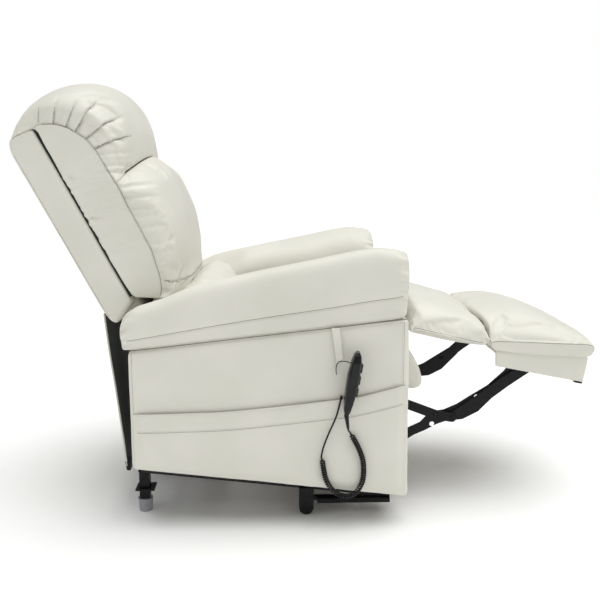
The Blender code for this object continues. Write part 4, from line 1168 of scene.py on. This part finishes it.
# ---------------------------------------------------------------- flap and strap
FLAP_LINE = [(0.458, 0.548), (0.453, 0.497), (0.447, 0.437), (0.4335, 0.328), (0.4205, 0.211),
             (0.4115, 0.115)]
FLAP_RIPPLE = 0.0015


def hanging_sheet(name, half, depth_low, depth_high):
    """Cloth that hangs down the flap's line: its faces lie depth_low and depth_high in front of the line."""
    curve = spline(FLAP_LINE, 200)

    def position(a, b, c):
        yz = along(curve, b)
        wave = FLAP_RIPPLE * np.sin(a * 17 + 2 * b) * b
        y = yz[:, 0] - depth_low - (depth_high - depth_low) * c + wave
        return np.stack([(2 * a - 1) * half, y, yz[:, 1]], 1)

    obj = grid_box(name, (60, 70, 1), position)
    shade(obj, 50)
    return obj


def make_flap():
    low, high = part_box("rear_flap")
    half = (high[0] - low[0]) / 2 - 0.001
    outer = hanging_sheet("rear_flap_sheet", half, -0.0016, 0.0008)
    finish_piece(outer, "leather", "flap", replaced=("rear_flap",))
    # near-black sheet just behind the outer one: painted shade on the flap's inside
    shade_sheet = hanging_sheet("rear_flap_painted_shade", half - 0.006, 0.001, 0.002)
    finish_piece(shade_sheet, "painted_shade_black", "flap")
    curve = spline(FLAP_LINE, 200)
    clip = [(0.405, 0.133), (0.419, 0.1345), (0.415, 0.106), (0.404, 0.105)]
    for side, phase in ((RIGHT, 0), (LEFT, 17)):
        down = np.linspace(0, 1, len(curve))
        wave = FLAP_RIPPLE * np.sin(phase + 2 * down) * down
        edge = [place(side * half, y + w, z) for (y, z), w in zip(curve, wave)]
        tube(f"rear_flap_binding_{side_word(side)}", edge[2:-2:3], 0.0026, "piping", "flap")
        held = slab(f"rear_flap_clip_{side_word(side)}", clip,
                    *sorted((side * (half - 0.03), side * (half + 0.002))), bevel=0.002, voxel=0.0018,
                    smooth_rounds=1)
        shade(held)
        finish_piece(held, "black_plastic", "flap")


STRAP_TOP, STRAP_FOOT = (-0.4, -0.1485, 0.537), (-0.4025, -0.1605, 0.447)
STRAP_WIDTH, STRAP_THICK = 0.0205, 0.002
HOOK_LINE = [(-0.4035, -0.1515, 0.418), (-0.4038, -0.15, 0.43), (-0.4042, -0.1515, 0.443),
             (-0.4055, -0.158, 0.4515), (-0.4085, -0.17, 0.4535), (-0.416, -0.18, 0.453),
             (-0.423, -0.188, 0.4515)]


def make_strap():
    """Loop of binding sewn into the arm seam, and the wire hook on it that holds the handset."""
    top, foot = np.array(STRAP_TOP), np.array(STRAP_FOOT)

    def position(a, b, c):
        line = top + (foot - top) * b[:, None]
        line[:, 1] += (2 * a - 1) * STRAP_WIDTH / 2 * (1 - 0.14 * smoothstep(b, 0.2, 1.0))
        line[:, 0] -= (c - 0.5) * STRAP_THICK * (1 + 0.9 * smoothstep(b, 0.8, 0.84)) + 0.0008 * np.sin(b * 6)
        return line

    obj = grid_box("handset_strap_binding", (12, 46, 1), position)
    subdivide(obj)
    shade(obj, 50)
    finish_piece(obj, "leather", "chair", replaced=("handset_strap",))
    for name, share in (("upper", 0.78), ("lower", 0.95)):
        x, y, z = top + (foot - top) * share
        row = [place(x - 0.002, y + t * 0.0065, z) for t in np.linspace(-1, 1, 12)]
        stitch_row(f"handset_strap_stitches_{name}", row, "chair", 0.0032, 0.0022, 0.0004)
    wire = spline(HOOK_LINE, 40) + np.array(SHIFT)
    tube("handset_hook", [Vector(p) for p in wire], 0.0011, "black_steel", "chair")


# ---------------------------------------------------------------- run
make_head_pillow()
make_lumbar()
make_boxing(RIGHT)
make_boxing(LEFT)
make_shell()
make_flap()
make_lower_back()
for each in (RIGHT, LEFT):
    make_arm(each)
    make_panel(each)
make_pocket()
make_strap()
make_seat()
make_apron()
make_leg_pad()
make_ottoman()
make_skirt()


def coat_nodes():
    """Every CAD node that stays in view gets the finish of its slot."""
    for part in frame["record"]["subparts"]:
        obj = NODES[part["node"]]
        if obj.hide_render:
            continue
        slot = part["material_slot"]
        obj.data.materials.clear()
        obj.data.materials.append(M["leather" if slot == UPHOLSTERY else slot])


coat_nodes()
